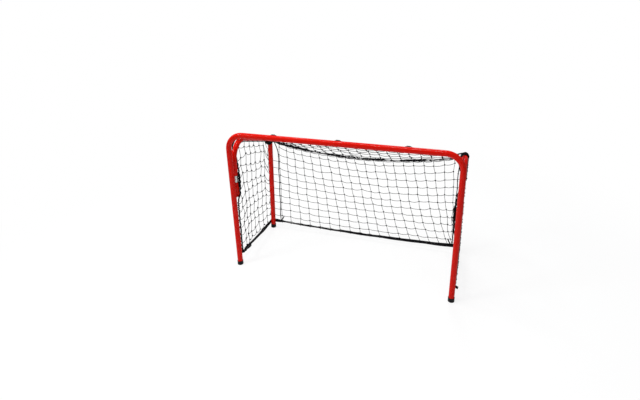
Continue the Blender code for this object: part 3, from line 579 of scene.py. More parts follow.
for side, word in NAMES.items():
    shape = Shape()
    lathe(shape, FOOT_PROFILE, goal_point(side, 0, 0, 0), 48)
    piece(f"post_foot_{word}", "moulded", shape, PLASTIC, "front_frame", 50)

    def leaning(height):
        """The sole is level, and the lip is square to the leaning leg."""
        leg = Vector((0, LEG_LEAN, BAR_REAR)).normalized()
        tilt = math.atan2(LEG_LEAN, BAR_REAR) * smooth(height / 0.010)
        return goal_point(side, 0, REAR_FOOT_BACK, 0) + leg * height, Matrix.Rotation(-tilt, 3, "X")

    shape = Shape()
    lathe(shape, FOOT_PROFILE, None, 48, leaning)
    piece(f"rear_foot_{word}", "moulded", shape, PLASTIC, word + "_side", 50)


# Back net: thin twisted cord, knotted where it crosses, with a little slack between its knots. It
# hangs from the rear tape, is looped round the rear strap, and is drawn to the right at its foot.

def fibre_group():
    """Two sets of strands that cross round a cord: UV is share round, and metres along."""
    inputs = {"Vector": "Vector", "Around": "Float", "Along": "Float"}
    group, given, result = new_group("braided_strands", inputs, "Height")
    parts = add(group, "SeparateXYZ", {0: given["Vector"]})
    turn = arithmetic(group, "MULTIPLY", parts.outputs[0], given["Around"])
    run = arithmetic(group, "MULTIPLY", parts.outputs[1], given["Along"])
    waves = []
    for way in ("ADD", "SUBTRACT"):
        phase = arithmetic(group, "MULTIPLY", arithmetic(group, way, turn, run), math.tau)
        waves.append(arithmetic(group, "SINE", phase))
    group.links.new(arithmetic(group, "MAXIMUM", waves[0], waves[1]), result)
    return group


STRANDS = fibre_group()


def cord_finish(name, dark, light, around, along, roughness):
    """Fibre cord: strands raised round it, with soft sheen. The strand tops are painted lighter, a painted
    highlight.
    """
    material, tree, shader = new_material(name, Sheen_Weight=0.02, Sheen_Roughness=0.5,
                                          Specular_IOR_Level=0.04)
    inputs = {"Vector": add(tree, "TexCoord").outputs["UV"], "Around": around, "Along": along}
    height = add(tree, "Group", inputs, node_tree=STRANDS).outputs[0]
    fuzz = noise(tree, add(tree, "TexCoord").outputs["Object"], 1500.0)
    # Painted highlight: the raised strand tops get the lighter colour, and the grooves keep the dark one.
    painted_highlight = arithmetic(tree, "MULTIPLY", ranged(tree, height, 0.0, 1.0, -1.0, 1.0), fuzz)
    rough = ranged(tree, fuzz, roughness - 0.1, roughness + 0.1)
    surfaced(tree, shader, mixed(tree, painted_highlight, dark, light), rough, height, 0.5, 0.0002)
    return material


# The second colour of each cord finish is its painted highlight on the strand tops.
NET_CORD = cord_finish("black_net_cord", (0.001, 0.001, 0.002), (0.010, 0.010, 0.011), 2, 500, 0.7)
STRAND_R = 0.00102


def hang(share):
    return max(0.0, 4 * share * (1 - share))


def torus(shape, centre, axis, major, minor, around=9, sides=5, start=0.0):
    """A ring of cord or wire round an axis."""
    helper = ACROSS if abs(axis.z) > 0.9 else UP
    a = axis.cross(helper).normalized()
    b = axis.cross(a).normalized()
    path = []
    for k in range(around):
        angle = start + math.tau * k / around
        path.append(centre + (a * math.cos(angle) + b * math.sin(angle)) * major)
    sweep(shape, path, circle(minor, sides), up=axis, closed=True)


def knot(shape, centre, one, two, draw):
    """Two small loops drawn tight over each other."""
    normal = one.cross(two).normalized()
    tilt = draw.uniform(0.3, 0.7)
    first = (one * tilt + two * (1 - tilt) + normal * draw.uniform(-0.2, 0.2)).normalized()
    second = (one * (1 - tilt) - two * tilt + normal * draw.uniform(-0.3, 0.3)).normalized()
    torus(shape, centre, first, 0.00215, 0.00170, 7, 4, draw.uniform(0, 1))
    torus(shape, centre, second, 0.00195, 0.00160, 7, 4, draw.uniform(0, 1))


def strand(shape, points, radius=STRAND_R, caps=False):
    sweep(shape, points, circle(radius, 6), caps=caps)


def knotted_net(shape, lines_u, lines_v, point, keep, fixed, seed, slack=0.0034,
                spread=(0.0013, 0.0007, 0.0013), zigzag=0.0):
    """Cords along both sets of lines, knotted at each crossing. point(u, v) is the net's surface,
    keep(a, b) says whether there is a cord between two crossings, and fixed(i, j) whether one
    stays in its place while the others are moved at random."""
    draw = random.Random(seed)
    shift = {}
    for i in range(len(lines_u)):
        for j in range(len(lines_v)):
            move = Vector([draw.gauss(0, reach) for reach in spread])
            move += Vector((0, zigzag, zigzag / 2)) * (-1) ** j
            shift[i, j] = Vector() if fixed(i, j) else move
    runs = {}
    for i, u in enumerate(lines_u):
        for j, v in enumerate(lines_v):
            for step_i, step_j in ((1, 0), (0, 1)):
                after = (i + step_i, j + step_j)
                if after[0] >= len(lines_u) or after[1] >= len(lines_v) or not keep((i, j), after):
                    continue
                u2, v2 = lines_u[after[0]], lines_v[after[1]]
                a = point(u, v) + shift[i, j]
                b = point(u2, v2) + shift[after]
                flat = math.hypot(b.x - a.x, b.y - a.y) / max(1e-6, (b - a).length)
                bow = Vector((draw.gauss(0, 0.0006), draw.gauss(0, 0.0006), draw.gauss(0, 0.0006)))
                bow.z -= slack * flat * draw.uniform(0.6, 1.4)
                path = []
                for k in range(5):
                    s = k / 4
                    on_net = point(u + (u2 - u) * s, v + (v2 - v) * s)
                    moved = shift[i, j].lerp(shift[after], s)
                    path.append(on_net + moved + bow * hang(s))
                strand(shape, path)
                runs.setdefault((i, j), []).append(b - a)
                runs.setdefault(after, []).append(a - b)
    for (i, j), ways in runs.items():
        if len(ways) > 2 and not fixed(i, j):
            crossing = point(lines_u[i], lines_v[j]) + shift[i, j]
            knot(shape, crossing, ways[0].normalized(), ways[-1].normalized(), draw)


def shares(count):
    return [k / count for k in range(count + 1)]


COLUMNS = 21                # meshes from side to side
BACK_ROWS = [0.0, 0.06] + [0.06 + 0.94 * k / 10.6 for k in range(1, 11)] + [1.0]
LAST_ROW = len(BACK_ROWS) - 1
STRAP_LEG_HEIGHT = 0.030    # the rear strap's middle at the legs, and how far it hangs
STRAP_HANG = 0.009
TAPE_HALF = 0.430           # the rear tape's half length, the place of its ends, and
TAPE_BACK = 0.361           # how far its middle is drawn forwards and down
TAPE_HEIGHT = 0.449
TAPE_BOW = 0.035
TAPE_HANG = 0.030
NET_REACH = 0.0132          # the net's surface stands off the middle of a tube
NET_UNDER_TAPE = 0.0062
NET_OVER_STRAP = 0.0082


def rear_strap_height(x):
    return STRAP_LEG_HEIGHT - STRAP_HANG * hang(0.5 + x / (2 * HALF))


def tape_point(x):
    full = hang(0.5 + x / (2 * TAPE_HALF))
    return Vector((x, FRONT_Y + TAPE_BACK - TAPE_BOW * full, TAPE_HEIGHT - TAPE_HANG * full))


def back_net_point(x, v):
    """The back net's surface: v runs from the strap, 0, to the tape, 1."""
    top = tape_point(x)
    top.z -= NET_UNDER_TAPE
    bottom = rear_strap_height(x) + NET_OVER_STRAP
    height = bottom + (top.z - bottom) * v
    ease = max(0.0, v) ** 1.5 * smooth((HALF - abs(x)) / 0.12)
    toward_tape = top.y - FRONT_Y - leg_back(top.z)
    behind = NET_REACH + (toward_tape - NET_REACH) * ease
    return Vector((x, FRONT_Y + leg_back(height) + behind, height))


def back_surface(u, v):
    """The net's lower part is drawn to the right, and its foot most of all."""
    x = (2 * u - 1) * (HALF + 0.002)
    drawn = 0.062 * smooth(u / 0.45) * (1 - smooth((u - 0.82) / 0.18)) * (1 - v) ** 0.9
    drawn += 0.030 * smooth((u - 0.35) / 0.4) * (1 - smooth((u - 0.90) / 0.10)) * (1 - v) ** 4
    return back_net_point(x + drawn, v)


def back_keep(a, b):
    inner = 0 < min(a[0], b[0]) and max(a[0], b[0]) < COLUMNS
    return inner or min(a[1], b[1]) < LAST_ROW - 2


shape = Shape()
knotted_net(shape, shares(COLUMNS), BACK_ROWS, back_surface, back_keep,
            lambda i, j: j in (0, LAST_ROW) or i in (0, COLUMNS), 11)
for column in range(1, COLUMNS):
    foot = back_surface(column / COLUMNS, 0)
    middle = Vector((foot.x, foot.y + 0.0002, rear_strap_height(foot.x)))
    loop = []
    for k in range(14):
        a = math.tau * k / 14
        loop.append(middle + Vector((0.0006 * math.sin(4 * a), 0.0022 * math.sin(a), 0.0064 * math.cos(a))))
    sweep(shape, loop, circle(STRAND_R, 5), up=ACROSS, closed=True)
back_net = piece("net_back", "knotted", shape, NET_CORD, "front_frame", 60)
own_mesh(back_net)


# Roof net: the same cord, from the crossbar's edge cord over the side bars to the tape. It is built as two
# pieces: its first rows, and the rest.

ROOF_ROWS = 9
FRONT_ROWS = 2
ROOF_CLEAR = 0.0150         # from the middle of a side bar to the net over it
EDGE_REACH = 0.0171         # from the middle of the crossbar to the net's first row


def bar_height(back):
    return BAR_FRONT - (BAR_FRONT - BAR_REAR) * (back - HINGE_BACK) / (DEPTH - HINGE_BACK)


def front_line_height(x):
    """The middle of the crossbar, which comes down in its bends."""
    into_bend = min(POST_BEND, max(0, abs(x) - (HALF - POST_BEND)))
    return CROSSBAR_HEIGHT - POST_BEND + math.sqrt(POST_BEND ** 2 - into_bend ** 2)


def edge_angle(x):
    """The net's edge passes from inside the post, round the bend, to behind the crossbar."""
    return math.radians(35 + 50 * smooth((HALF - abs(x)) / POST_BEND))


def roof_surface(u, v):
    """The net rises from its front edge over the side bars, then comes down to the tape."""
    x = (2 * u - 1) * (HALF - 0.0035)
    angle = edge_angle(x)
    front_back = max(NET_REACH, EDGE_REACH * math.sin(angle))
    lift = ROOF_CLEAR / math.cos(math.atan2(BAR_FRONT - BAR_REAR, DEPTH - HINGE_BACK))
    crown = max(p.z for p in SIDE_PROFILE) + ROOF_CLEAR

    def over_bars(back):
        height = bar_height(back) + lift
        return min(height, crown) if HALF - abs(x) < 0.031 else height

    tape_place = tape_point(x)
    rear_back = tape_place.y - FRONT_Y - NET_UNDER_TAPE
    back = front_back + (rear_back - front_back) * v
    front = front_line_height(x) - EDGE_REACH * math.cos(angle)
    taut = front + (over_bars(back) - front) * smooth((back - front_back) / 0.028)
    to_tape = max(0.0, v) ** 2 * smooth((HALF - abs(x)) / 0.056)
    return Vector((x, FRONT_Y + back, taut - (over_bars(rear_back) - tape_place.z) * to_tape))


def roof_keep(a, b):
    return max(a[0], b[0]) < COLUMNS or min(a[1], b[1]) < ROOF_ROWS - 1


for part, is_front, anchor, kept in (("front", True, 0.0145, 0.80), ("rear", False, 0.0440, 0.035)):
    shape = Shape()
    knotted_net(shape, shares(COLUMNS), shares(ROOF_ROWS), roof_surface,
                lambda a, b: roof_keep(a, b) and (max(a[1], b[1]) < FRONT_ROWS) == is_front,
                lambda i, j: j in (0, ROOF_ROWS) or i in (0, COLUMNS), 23)
    roof_net = piece("net_roof", f"{part}_knotted", shape, NET_CORD, "front_frame", 60)
    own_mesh(roof_net)


# Side nets: the same cord, more slack. Each runs from the post's cord outside the side frame
# round to the back net's edge. The right one is pulled in between its legs.

CORD_SEAT = 0.0134          # from the middle of a tube to the middle of a cord on it
SIDE_NET_OUTSIDE = 0.0126   # from the middle of a tube to the net outside it
SIDE_COLUMNS, SIDE_ROWS = 8, 12
NET_LOW_FRONT, NET_LOW_REAR = 0.0629, 0.0407
STRAP_REAR_HEIGHT = 0.032   # where the straps pass the rear leg


def frame_height(back):
    """The middle of the top bar, or of a bend, at a distance behind the front plane."""
    for a, b in zip(SIDE_PROFILE, SIDE_PROFILE[1:]):
        if a.y <= back < b.y:
            return a.z + (b.z - a.z) * (back - a.y) / (b.y - a.y)
    return BAR_REAR


def side_surface(side, u, v):
    """The net from the post's cord, u = 0, to the rear leg, and from the strap to the top bar."""
    start, outside, end = CORD_SEAT, SIDE_NET_OUTSIDE, leg_back(STRAP_REAR_HEIGHT)
    edge = 0.0112 if side == LEFT else -0.0112
    flat_back = start + (end - start) * u
    bottom = NET_LOW_FRONT + (NET_LOW_REAR - NET_LOW_FRONT) * u
    tuck = 0.060 * smooth((flat_back - 0.292) / 0.051)
    top = frame_height(max(flat_back, 0.0391)) + 0.0022 - tuck
    z = bottom + (top - bottom) * v
    back = start + (leg_back(z) - start) * u
    low_inboard = edge - (edge + outside) * smooth(2 * u)
    rise = smooth((v - 0.35) / 0.5) * min(1, max(0, u * 6))
    inboard = low_inboard - (low_inboard + outside) * rise
    if side == RIGHT:
        between_legs = smooth(u / 0.12) * smooth((0.92 - u) / 0.2)
        inboard += 0.011 * between_legs * smooth((z - 0.22) / 0.05) * smooth((0.93 - v) / 0.1)
    return goal_point(side, inboard, back, z)


def side_keep(a, b):
    """The meshes reach the post's cord only in the lower half, below the pivot."""
    return max(a[0], b[0]) > 0 and (min(a[0], b[0]) > 0 or max(a[1], b[1]) <= SIDE_ROWS / 2)


for side, word in NAMES.items():
    shape = Shape()
    knotted_net(shape, shares(SIDE_COLUMNS), shares(SIDE_ROWS), lambda u, v: side_surface(side, u, v),
                side_keep, lambda i, j: i == 0 or j == SIDE_ROWS, 31 + side,
                slack=0.0070, spread=(0.0004, 0.0028, 0.0034), zigzag=0.0038)
    net = piece(f"net_side_{word}", "knotted", shape, NET_CORD, None, 60)
    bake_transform(net)


# Crossbar's cord: black braided cord that holds the net's front edge. It runs behind the crossbar
# and down into the bends, with two turns of net cord round it at each mesh.

CORD = cord_finish("black_cord", (0.001, 0.001, 0.002), (0.012, 0.012, 0.013), 4, 260, 0.65)
EDGE_CORD_R = 0.0020
MESH = 0.0434               # from one hitch of the net to the next
CLIPS = (-0.257, 0.0, 0.257)
CLIP_ANGLE = math.radians(120)
CLIP_SEAT = 0.0150          # from the middle of the crossbar to a clip's eye
CLIP_REACH = 0.0070         # half a clip's length


def cord(shape, path, radius=EDGE_CORD_R):
    sweep(shape, path, circle(radius, 10))


def travelled(path):
    distances = [0.0]
    for a, b in zip(path, path[1:]):
        distances.append(distances[-1] + (b - a).length)
    return distances


def point_along(path, distance):
    for a, b in zip(path, path[1:]):
        run = (b - a).length
        if distance <= run or b is path[-1]:
            return a + (b - a) * distance / run
        distance -= run


def wound_point(path, distance, plane, angle, radius):
    """A point beside a tube: angle 0 is inward in the tube's plane, 90 degrees along the plane's normal."""
    along = point_along(path, distance + 0.005) - point_along(path, distance - 0.005)
    inward = plane.cross(along).normalized()
    return point_along(path, distance) + (inward * math.cos(angle) + plane * math.sin(angle)) * radius


def hitched(shape, path, spacing, seed):
    """Two turns of net cord round the edge cord at each mesh."""
    draw = random.Random(seed)
    total = travelled(path)[-1]
    count = int(total / spacing)
    for k in range(1, count):
        distance = total * k / count
        for part in (-0.0009, 0.0009):
            here = point_along(path, distance + part)
            heading = point_along(path, distance + part + 0.002) - point_along(path, distance + part - 0.002)
            torus(shape, here, heading.normalized(), EDGE_CORD_R + 0.0005, 0.0007, start=draw.uniform(0, 1))


def crossbar_point(distance, slack):
    """The net's edge cord behind the crossbar, which rises to each clip."""
    x = point_along(FRONT_PATH, distance).x
    from_clip = min(abs(x - clip) for clip in CLIPS) - CLIP_REACH - 0.0003
    rise = 1 - smooth(from_clip / 0.016)
    angle = edge_angle(x) + (CLIP_ANGLE - edge_angle(x)) * rise
    seat = CORD_SEAT + 0.0001 + slack * (1 - rise)
    return wound_point(FRONT_PATH, distance, BACKWARD, angle, seat + (CLIP_SEAT - seat) * rise)


shape = Shape()
total = travelled(FRONT_PATH)[-1]
bend_start = travelled(FRONT_PATH)[1]
path = []
for k in range(401):
    distance = bend_start + (total - 2 * bend_start) * k / 400
    path.append(crossbar_point(distance, 0.0005 * (1 + math.sin(distance * 150))))
cord(shape, path)
hitched(shape, path, MESH, 5)
piece("crossbar_cord", "braided", shape, CORD, "front_frame", 60)


# Net clips: three small black plastic eyes on curved feet, fixed behind the top of the crossbar.
# The crossbar's cord passes through them.

for number, x in enumerate(CLIPS, 1):
    shape = Shape()
    bar = Vector((x, FRONT_Y, CROSSBAR_HEIGHT))
    out = Vector((0, math.sin(CLIP_ANGLE), -math.cos(CLIP_ANGLE)))
    over = Vector((0, out.z, -out.y))
    upended = Matrix.Rotation(math.pi / 2, 3, "Y")
    eye = [(0.0025, -0.0066), (0.0029, -0.0070), (0.0032, -0.0070), (0.0036, -0.0066), (0.0036, 0.0066),
           (0.0032, 0.0070), (0.0029, 0.0070), (0.0025, 0.0066), (0.0025, -0.0066)]
    lathe(shape, eye, None, 28, lambda along: (bar + out * CLIP_SEAT + Vector((along, 0, 0)), upended))
    foot = []
    for part in range(13):
        reach = -0.0050 + 0.0100 * part / 12
        foot.append((reach, math.sqrt(0.0114 ** 2 - reach ** 2)))
    foot += [(0.0050, 0.0118), (0.0046, 0.0124), (0.0036, 0.0129),
             (-0.0036, 0.0129), (-0.0046, 0.0124), (-0.0050, 0.0118)]
    ends = []
    for along in (-CLIP_REACH, CLIP_REACH):
        ends.append(shape.ring([bar + over * a + out * b + Vector((along, 0, 0)) for a, b in foot]))
    shape.block(ends, [k * 0.001 for k in range(len(foot) + 1)], 2 * CLIP_REACH, foot)
    piece(f"net_clip_{number}", "moulded", shape, PLASTIC, "front_frame", 50)


# Post cords: the same braided cord with three thinner ones laid round it, laced to the side nets.
# Each runs up the post and round the side frame's leg. The net is gathered beside each pivot.

POST_CORD_ANGLE = math.radians(35)
RIGHT_TURN = math.radians(95)       # the right one passes on behind its post, lower down
POST_SEAT = 0.0142                  # from the middle of a post to the middle of its cord
ON_POST = (0.0605, 0.2264)          # heights at which the cord lies straight up the post,
TURNING = (0.2364, 0.2964)          # passes round to the post's inner side,
ON_LEG = (0.3205, 0.4921)           # and winds round the side frame's leg
CLOSER_FROM = 0.3797                # where it begins to lie closer
LACING = 0.036                      # from one lacing to the next
# The gathered net by each leg: its lowest and highest point, its width and its count of strands.
BUNCH = {LEFT: (0.345, 0.424, 0.0030, 10), RIGHT: (0.308, 0.388, 0.0068, 18)}


def flowing(points, steps):
    """A smooth path through the points."""
    padded = [points[0] * 2 - points[1]] + points + [points[-1] * 2 - points[-2]]
    path = []
    for p, a, b, q in zip(padded, padded[1:], padded[2:], padded[3:]):
        for k in range(steps):
            t = k / steps
            square = (p * 2 - a * 5 + b * 4 - q) * t * t / 2
            cube = (a * 3 - p - b * 3 + q) * t ** 3 / 2
            path.append(a + (b - p) * t / 2 + square + cube)
    return path + [points[-1]]


def beside(side, back, radius, angle, height):
    """A point beside an upright tube: angle 0 is inboard of it, and 90 degrees is behind it."""
    return goal_point(side, radius * math.cos(angle), back + radius * math.sin(angle), height)


def any_way(draw):
    return Vector((draw.uniform(-1, 1), draw.uniform(-1, 1), draw.uniform(-1, 1))).normalized()


def bunched(shape, spine, count, radius, seed):
    """Net drawn together: loose strands side by side. spine(share, turn, reach) gives their places."""
    draw = random.Random(seed)
    for _ in range(count):
        turn, reach = draw.uniform(-1, 1), draw.uniform(0.25, 1)
        first, last = draw.uniform(0, 0.12), draw.uniform(0.88, 1)
        bend, wave = draw.uniform(0, math.tau), draw.uniform(2, 5)
        path = []
        for k in range(17):
            share = first + (last - first) * k / 16
            loose = smooth(5 * share) * smooth(5 * (1 - share))
            sway = 0.25 * math.sin(bend + wave * share * math.tau)
            path.append(spine(share, turn * loose + sway * loose, max(0.1, reach + sway) * loose))
        strand(shape, path, radius, caps=True)


for side, word in NAMES.items():
    shape = Shape()
    points = []
    turn = RIGHT_TURN if side == RIGHT else 0
    for k in range(9):
        height = ON_POST[0] + (ON_POST[1] - ON_POST[0]) * k / 8
        points.append(beside(side, 0, POST_SEAT, POST_CORD_ANGLE + turn, height))
    for k in range(1, 9):
        height = TURNING[0] + (TURNING[1] - TURNING[0]) * k / 8
        points.append(beside(side, 0, POST_SEAT, POST_CORD_ANGLE + turn * (1 - smooth(k / 8)), height))
    for k in range(11):
        height = ON_LEG[0] + (ON_LEG[1] - ON_LEG[0]) * k / 10
        past = smooth((height - CLOSER_FROM) / 0.029)
        radius = 0.0145 + (CORD_SEAT - 0.0145) * past + 0.0008
        points.append(beside(side, HINGE_BACK, radius, math.radians(11 * k - 20), height))
    path = flowing(points, 5)
    wavy = []
    draw = random.Random(50 + side)
    pull = 1.0
    for k, point in enumerate(path):
        if k % 7 == 0:
            pull = draw.uniform(0.5, 1.3)
        on_post = 1 - smooth((point.z - 0.290) / 0.020)
        centre = goal_point(side, 0, HINGE_BACK * (1 - on_post), point.z)
        away = (point - centre).normalized()
        fade = (0.15 + 0.85 * smooth((point.z - 0.09) / 0.14)) * min(1, k / 4, (len(path) - 1 - k) / 4)
        pulled = 0.0016 * pull * (1 - math.cos(math.tau * k / 7)) * fade
        wavy.append(point + away * (0.0002 + pulled))
    cord(shape, wavy)
    for lay in range(3):
        laid = []
        for k, point in enumerate(wavy):
            angle = math.tau * lay / 3 + 0.5 * k
            laid.append(point + Vector((math.cos(angle), math.sin(angle), 0)) * 0.0021)
        strand(shape, laid, 0.0015, caps=True)
    hitched(shape, wavy, LACING, 40 + side)
    low, high, wide, count = BUNCH[side]

    def beside_leg(share, turn, reach):
        """Net gathered between the leg and its cord, on the inner side."""
        angle = math.radians(15 + 40 * turn)
        return beside(side, HINGE_BACK, 0.0152 + wide * reach, angle, low + (high - low) * share)

    bunched(shape, beside_leg, count, 0.0011, 45 + side)
    piece(f"post_cord_{word}", "braided", shape, CORD, "front_frame", 60)


# Bar cords and corner lashings: the same cord under each top bar, and wound in eight turns round
# the rear bend, where it ties the net's corner. The right net is also gathered over its bar.

def distance_near(path, place):
    total = travelled(path)[-1]
    tries = [total * k / 1000 for k in range(1001)]
    return min(tries, key=lambda distance: (point_along(path, distance) - place).length)


for side, word in NAMES.items():
    path = side_frame_path(side)
    near_front = distance_near(path, goal_point(side, 0, HINGE_BACK, BAR_FRONT))
    corner = distance_near(path, goal_point(side, 0, DEPTH, BAR_REAR))
    turns, pitch = 8, 0.0053
    start = corner - 0.008 - turns * pitch / 2
    shape = Shape()
    line = []
    for k in range(60):
        distance = near_front + (start - 0.003 - near_front) * k / 59
        line.append(wound_point(path, distance, ACROSS, math.pi, CORD_SEAT + 0.0001))
    cord(shape, line)
    hitched(shape, line, MESH, 60 + side)
    if side == RIGHT:
        def over_bar(share, turn, reach):
            """The net's front corner, gathered over the bar and hanging down outside it."""
            behind = 0.122 + 0.009 * turn
            angle = math.radians(200 - 200 * min(1, share / 0.6))
            radius = 0.0122 + 0.0042 * reach
            drop = 0.034 * max(0, (share - 0.6) / 0.4)
            height = frame_height(behind) + radius * math.sin(angle) - drop
            return goal_point(side, radius * math.cos(angle), behind, height)

        bunched(shape, over_bar, 30, 0.0013, 66)
    piece(f"bar_cord_{word}", "braided", shape, CORD, word + "_side", 60)

    shape = Shape()
    draw = random.Random(70 + side)
    line = []
    per_turn = 20
    for k in range(turns * per_turn + 1):
        turn = k / per_turn
        distance = start + pitch * turn + 0.0012 * math.sin(turn * 2.3)
        radius = CORD_SEAT + 0.0003 * math.sin(turn * 5)
        line.append(wound_point(path, distance, ACROSS, math.pi + math.tau * turn, radius))
    cord(shape, line)
    for k in range(5):
        distance = start + pitch * (1.5 + 1.5 * k)
        place = wound_point(path, distance, ACROSS, math.pi * 0.15 * k, 0.0146)
        torus(shape, place, any_way(draw), 0.0016, 0.0013)

    def over_bend(share, turn, reach):
        """The net's corner, gathered over the outside of the bend."""
        distance = start - 0.004 + (turns * pitch + 0.008) * share
        return wound_point(path, distance, ACROSS, math.pi + 0.8 * turn, 0.0151 + 0.0050 * reach)

    bunched(shape, over_bend, 28, 0.0015, 75 + side)
    piece(f"corner_lashing_{word}", "wound", shape, CORD, word + "_side", 60)


# Corner cords: the same cord, from the lashings down inside each rear leg, with a knot at each
# mesh of the back net and a loose tail at the foot.

for side, word in NAMES.items():
    shape = Shape()
    leave = 0.0184                                  # inboard of the leg, at the lashing
    hanging = 0.038 if side == LEFT else 0.0205     # and below it
    points = []
    for k in range(13):
        v = 1 - k / 12
        inboard = leave + (hanging - leave) * smooth((1 - v) / 0.11)
        point = back_net_point(side * (HALF - inboard), v)
        points.append(point + Vector((side * 0.0012 * math.sin(k * 1.9), -0.0049, 0)))
    path = flowing(points, 6)
    cord(shape, path)
    for k in range(1, 12):
        here = path[k * 6]
        torus(shape, here, UP, 0.0022, 0.0012)
        torus(shape, here + UP * 0.0018, Vector((0.5, 0.3, 0.8)).normalized(), 0.0020, 0.0011)
    end = points[-1]
    tail = [end]
    for x, y, z in ((0.005, -0.003, 0.004), (0.012, -0.004, 0.014), (0.019, -0.003, 0.028)):
        tail.append(end + Vector((-side * x, y, z)))
    cord(shape, flowing(tail, 5), 0.0027)
    torus(shape, end, Vector((1, 0, 0.3)).normalized(), 0.0022, 0.0013)
    torus(shape, end, Vector((0.2, 1, 0.3)).normalized(), 0.0020, 0.0013)
    piece(f"corner_cord_{word}", "braided", shape, CORD, word + "_side", 60)


# Rear strap: black woven webbing, 13 mm wide, tight between the feet of the rear legs. The back
# net is looped round it. It leans and widens a little where it is drawn tight.

def webbing_finish():
    """Woven strap: ribs across it in a broken twill, with the thread tops painted lighter as a painted
    highlight.
    """
    material, tree, shader = new_material("black_webbing", Sheen_Weight=0.02, Sheen_Roughness=0.4,
                                          Specular_IOR_Level=0.06)
    parts = add(tree, "SeparateXYZ", {0: add(tree, "TexCoord").outputs["UV"]})
    warp = arithmetic(tree, "SINE", arithmetic(tree, "MULTIPLY", parts.outputs[0], math.tau / 0.0009))
    slant = arithmetic(tree, "ADD", parts.outputs[1], arithmetic(tree, "MULTIPLY", parts.outputs[0], 0.6))
    weft = arithmetic(tree, "SINE", arithmetic(tree, "MULTIPLY", slant, math.tau / 0.0015))
    height = arithmetic(tree, "ADD", arithmetic(tree, "MULTIPLY", warp, 0.4), weft)
    share = ranged(tree, height, 0.0, 1.0, -1.4, 1.4)
    cloud = noise(tree, add(tree, "TexCoord").outputs["Object"], 120.0, 3.0)
    # Painted highlight: the raised thread tops get the lighter colour, in patches set by the cloud.
    painted_highlight = arithmetic(tree, "MULTIPLY", share, cloud)
    colour = mixed(tree, painted_highlight, (0.001, 0.001, 0.002), (0.016, 0.016, 0.018))
    surfaced(tree, shader, colour, ranged(tree, cloud, 0.45, 0.7), height, 0.6, 0.0003)
    return material


WEBBING = webbing_finish()
STRAP_WIDTH = 0.013
STRAP_THICKNESS = 0.0014


def strap(shape, path, width=STRAP_WIDTH, tilts=None, widths=None, closed=False):
    """Webbing along a path, its width upright where it isn't tilted and its edges rounded off."""
    grows = [(1.0, wide) for wide in widths] if widths else None
    x, y, edge = STRAP_THICKNESS / 2, width / 2, STRAP_THICKNESS * 0.3
    outline = [(-x + edge, -y), (x - edge, -y), (x, -y + edge), (x, 0), (x, y - edge),
               (x - edge, y), (-x + edge, y), (-x, y - edge), (-x, 0), (-x, -y + edge)]
    sweep(shape, path, outline, tilts=tilts, grows=grows, closed=closed, lengths=True)


shape = Shape()
back = leg_back(STRAP_REAR_HEIGHT) + TUBE_R + 0.0030
path = []
tilts = []
widths = []
for k in range(61):
    x = (2 * k / 60 - 1) * HALF
    height = rear_strap_height(x) + 0.0006 * math.sin(k * 0.55)
    path.append(Vector((x, FRONT_Y + back + 0.0004 * math.sin(k * 0.9), height)))
    laid = smooth((x + 0.435) / 0.05) * (1 - smooth((x + 0.36) / 0.62))
    tilts.append(0.58 * laid + 0.08 * math.sin(k * 0.4))
    wider = 0.30 * smooth((-0.39 - x) / 0.03) + 0.20 * smooth((x - 0.15) / 0.25)
    widths.append(1.08 + wider + 0.04 * math.sin(k * 0.7))
strap(shape, path, tilts=tilts, widths=widths)
rear_strap = piece("rear_strap", "woven", shape, WEBBING, "front_frame", 50)
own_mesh(rear_strap)


# Rear tape: narrower webbing along the net's upper rear edge, twisted five half turns, with a
# cord laced along it and the net bunched on it where it is drawn tight.

TAPE_TWISTS = 5             # half turns from end to end

shape = Shape()
path = []
tilts = []
widths = []
for k in range(121):
    x = (2 * k / 120 - 1) * TAPE_HALF
    path.append(tape_point(x))
    tilts.append(math.pi * TAPE_TWISTS * k / 120 + 0.3 * math.sin(k * 0.5))
    widths.append(1 - 0.5 * smooth((x - 0.26) / 0.10))
strap(shape, path, width=0.009, tilts=tilts, widths=widths)
laced = []
for k, point in enumerate(path):
    laced.append(point + Vector((0, 0.0006 * math.sin(k), 0.0008 * math.cos(k * 0.8))))
cord(shape, laced, 0.0016)
draw = random.Random(90)
for k in range(1, COLUMNS):
    here = tape_point((2 * k / COLUMNS - 1) * TAPE_HALF)
    torus(shape, here, Vector((1, 0, draw.uniform(-0.3, 0.3))).normalized(), 0.0042, 0.0011, 12, 5)
    for part in range(3):
        place = here + Vector((draw.uniform(-0.005, 0.005), draw.uniform(-0.002, 0.002),
                               draw.uniform(-0.004, 0.002)))
        facing = any_way(draw)
        torus(shape, place, facing, draw.uniform(0.0020, 0.0032), 0.0012, start=draw.uniform(0, 1))
for first, last, count, seed in ((-TAPE_HALF, -0.28, 9, 91), (-0.06, 0.01, 4, 92), (0.06, 0.12, 4, 93),
                                 (0.24, 0.30, 3, 94)):
    def along_tape(share, turn, reach):
        """Net bunched along the tape where it is drawn tight."""
        around = math.pi * turn
        spread = Vector((0, math.cos(around), math.sin(around))) * (0.0015 + 0.0040 * reach)
        return tape_point(first + (last - first) * share) + spread

    bunched(shape, along_tape, count, 0.0011, seed)
rear_tape = piece("rear_tape", "twisted", shape, WEBBING, "front_frame", 50)
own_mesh(rear_tape)


# Side straps and their hardware: a loop of webbing through a bent wire staple on each post holds a
# zinc plated ring. The side strap is doubled and stitched at the ring, runs back, and wraps the
# foot of the rear leg. The right loop has a loose end.

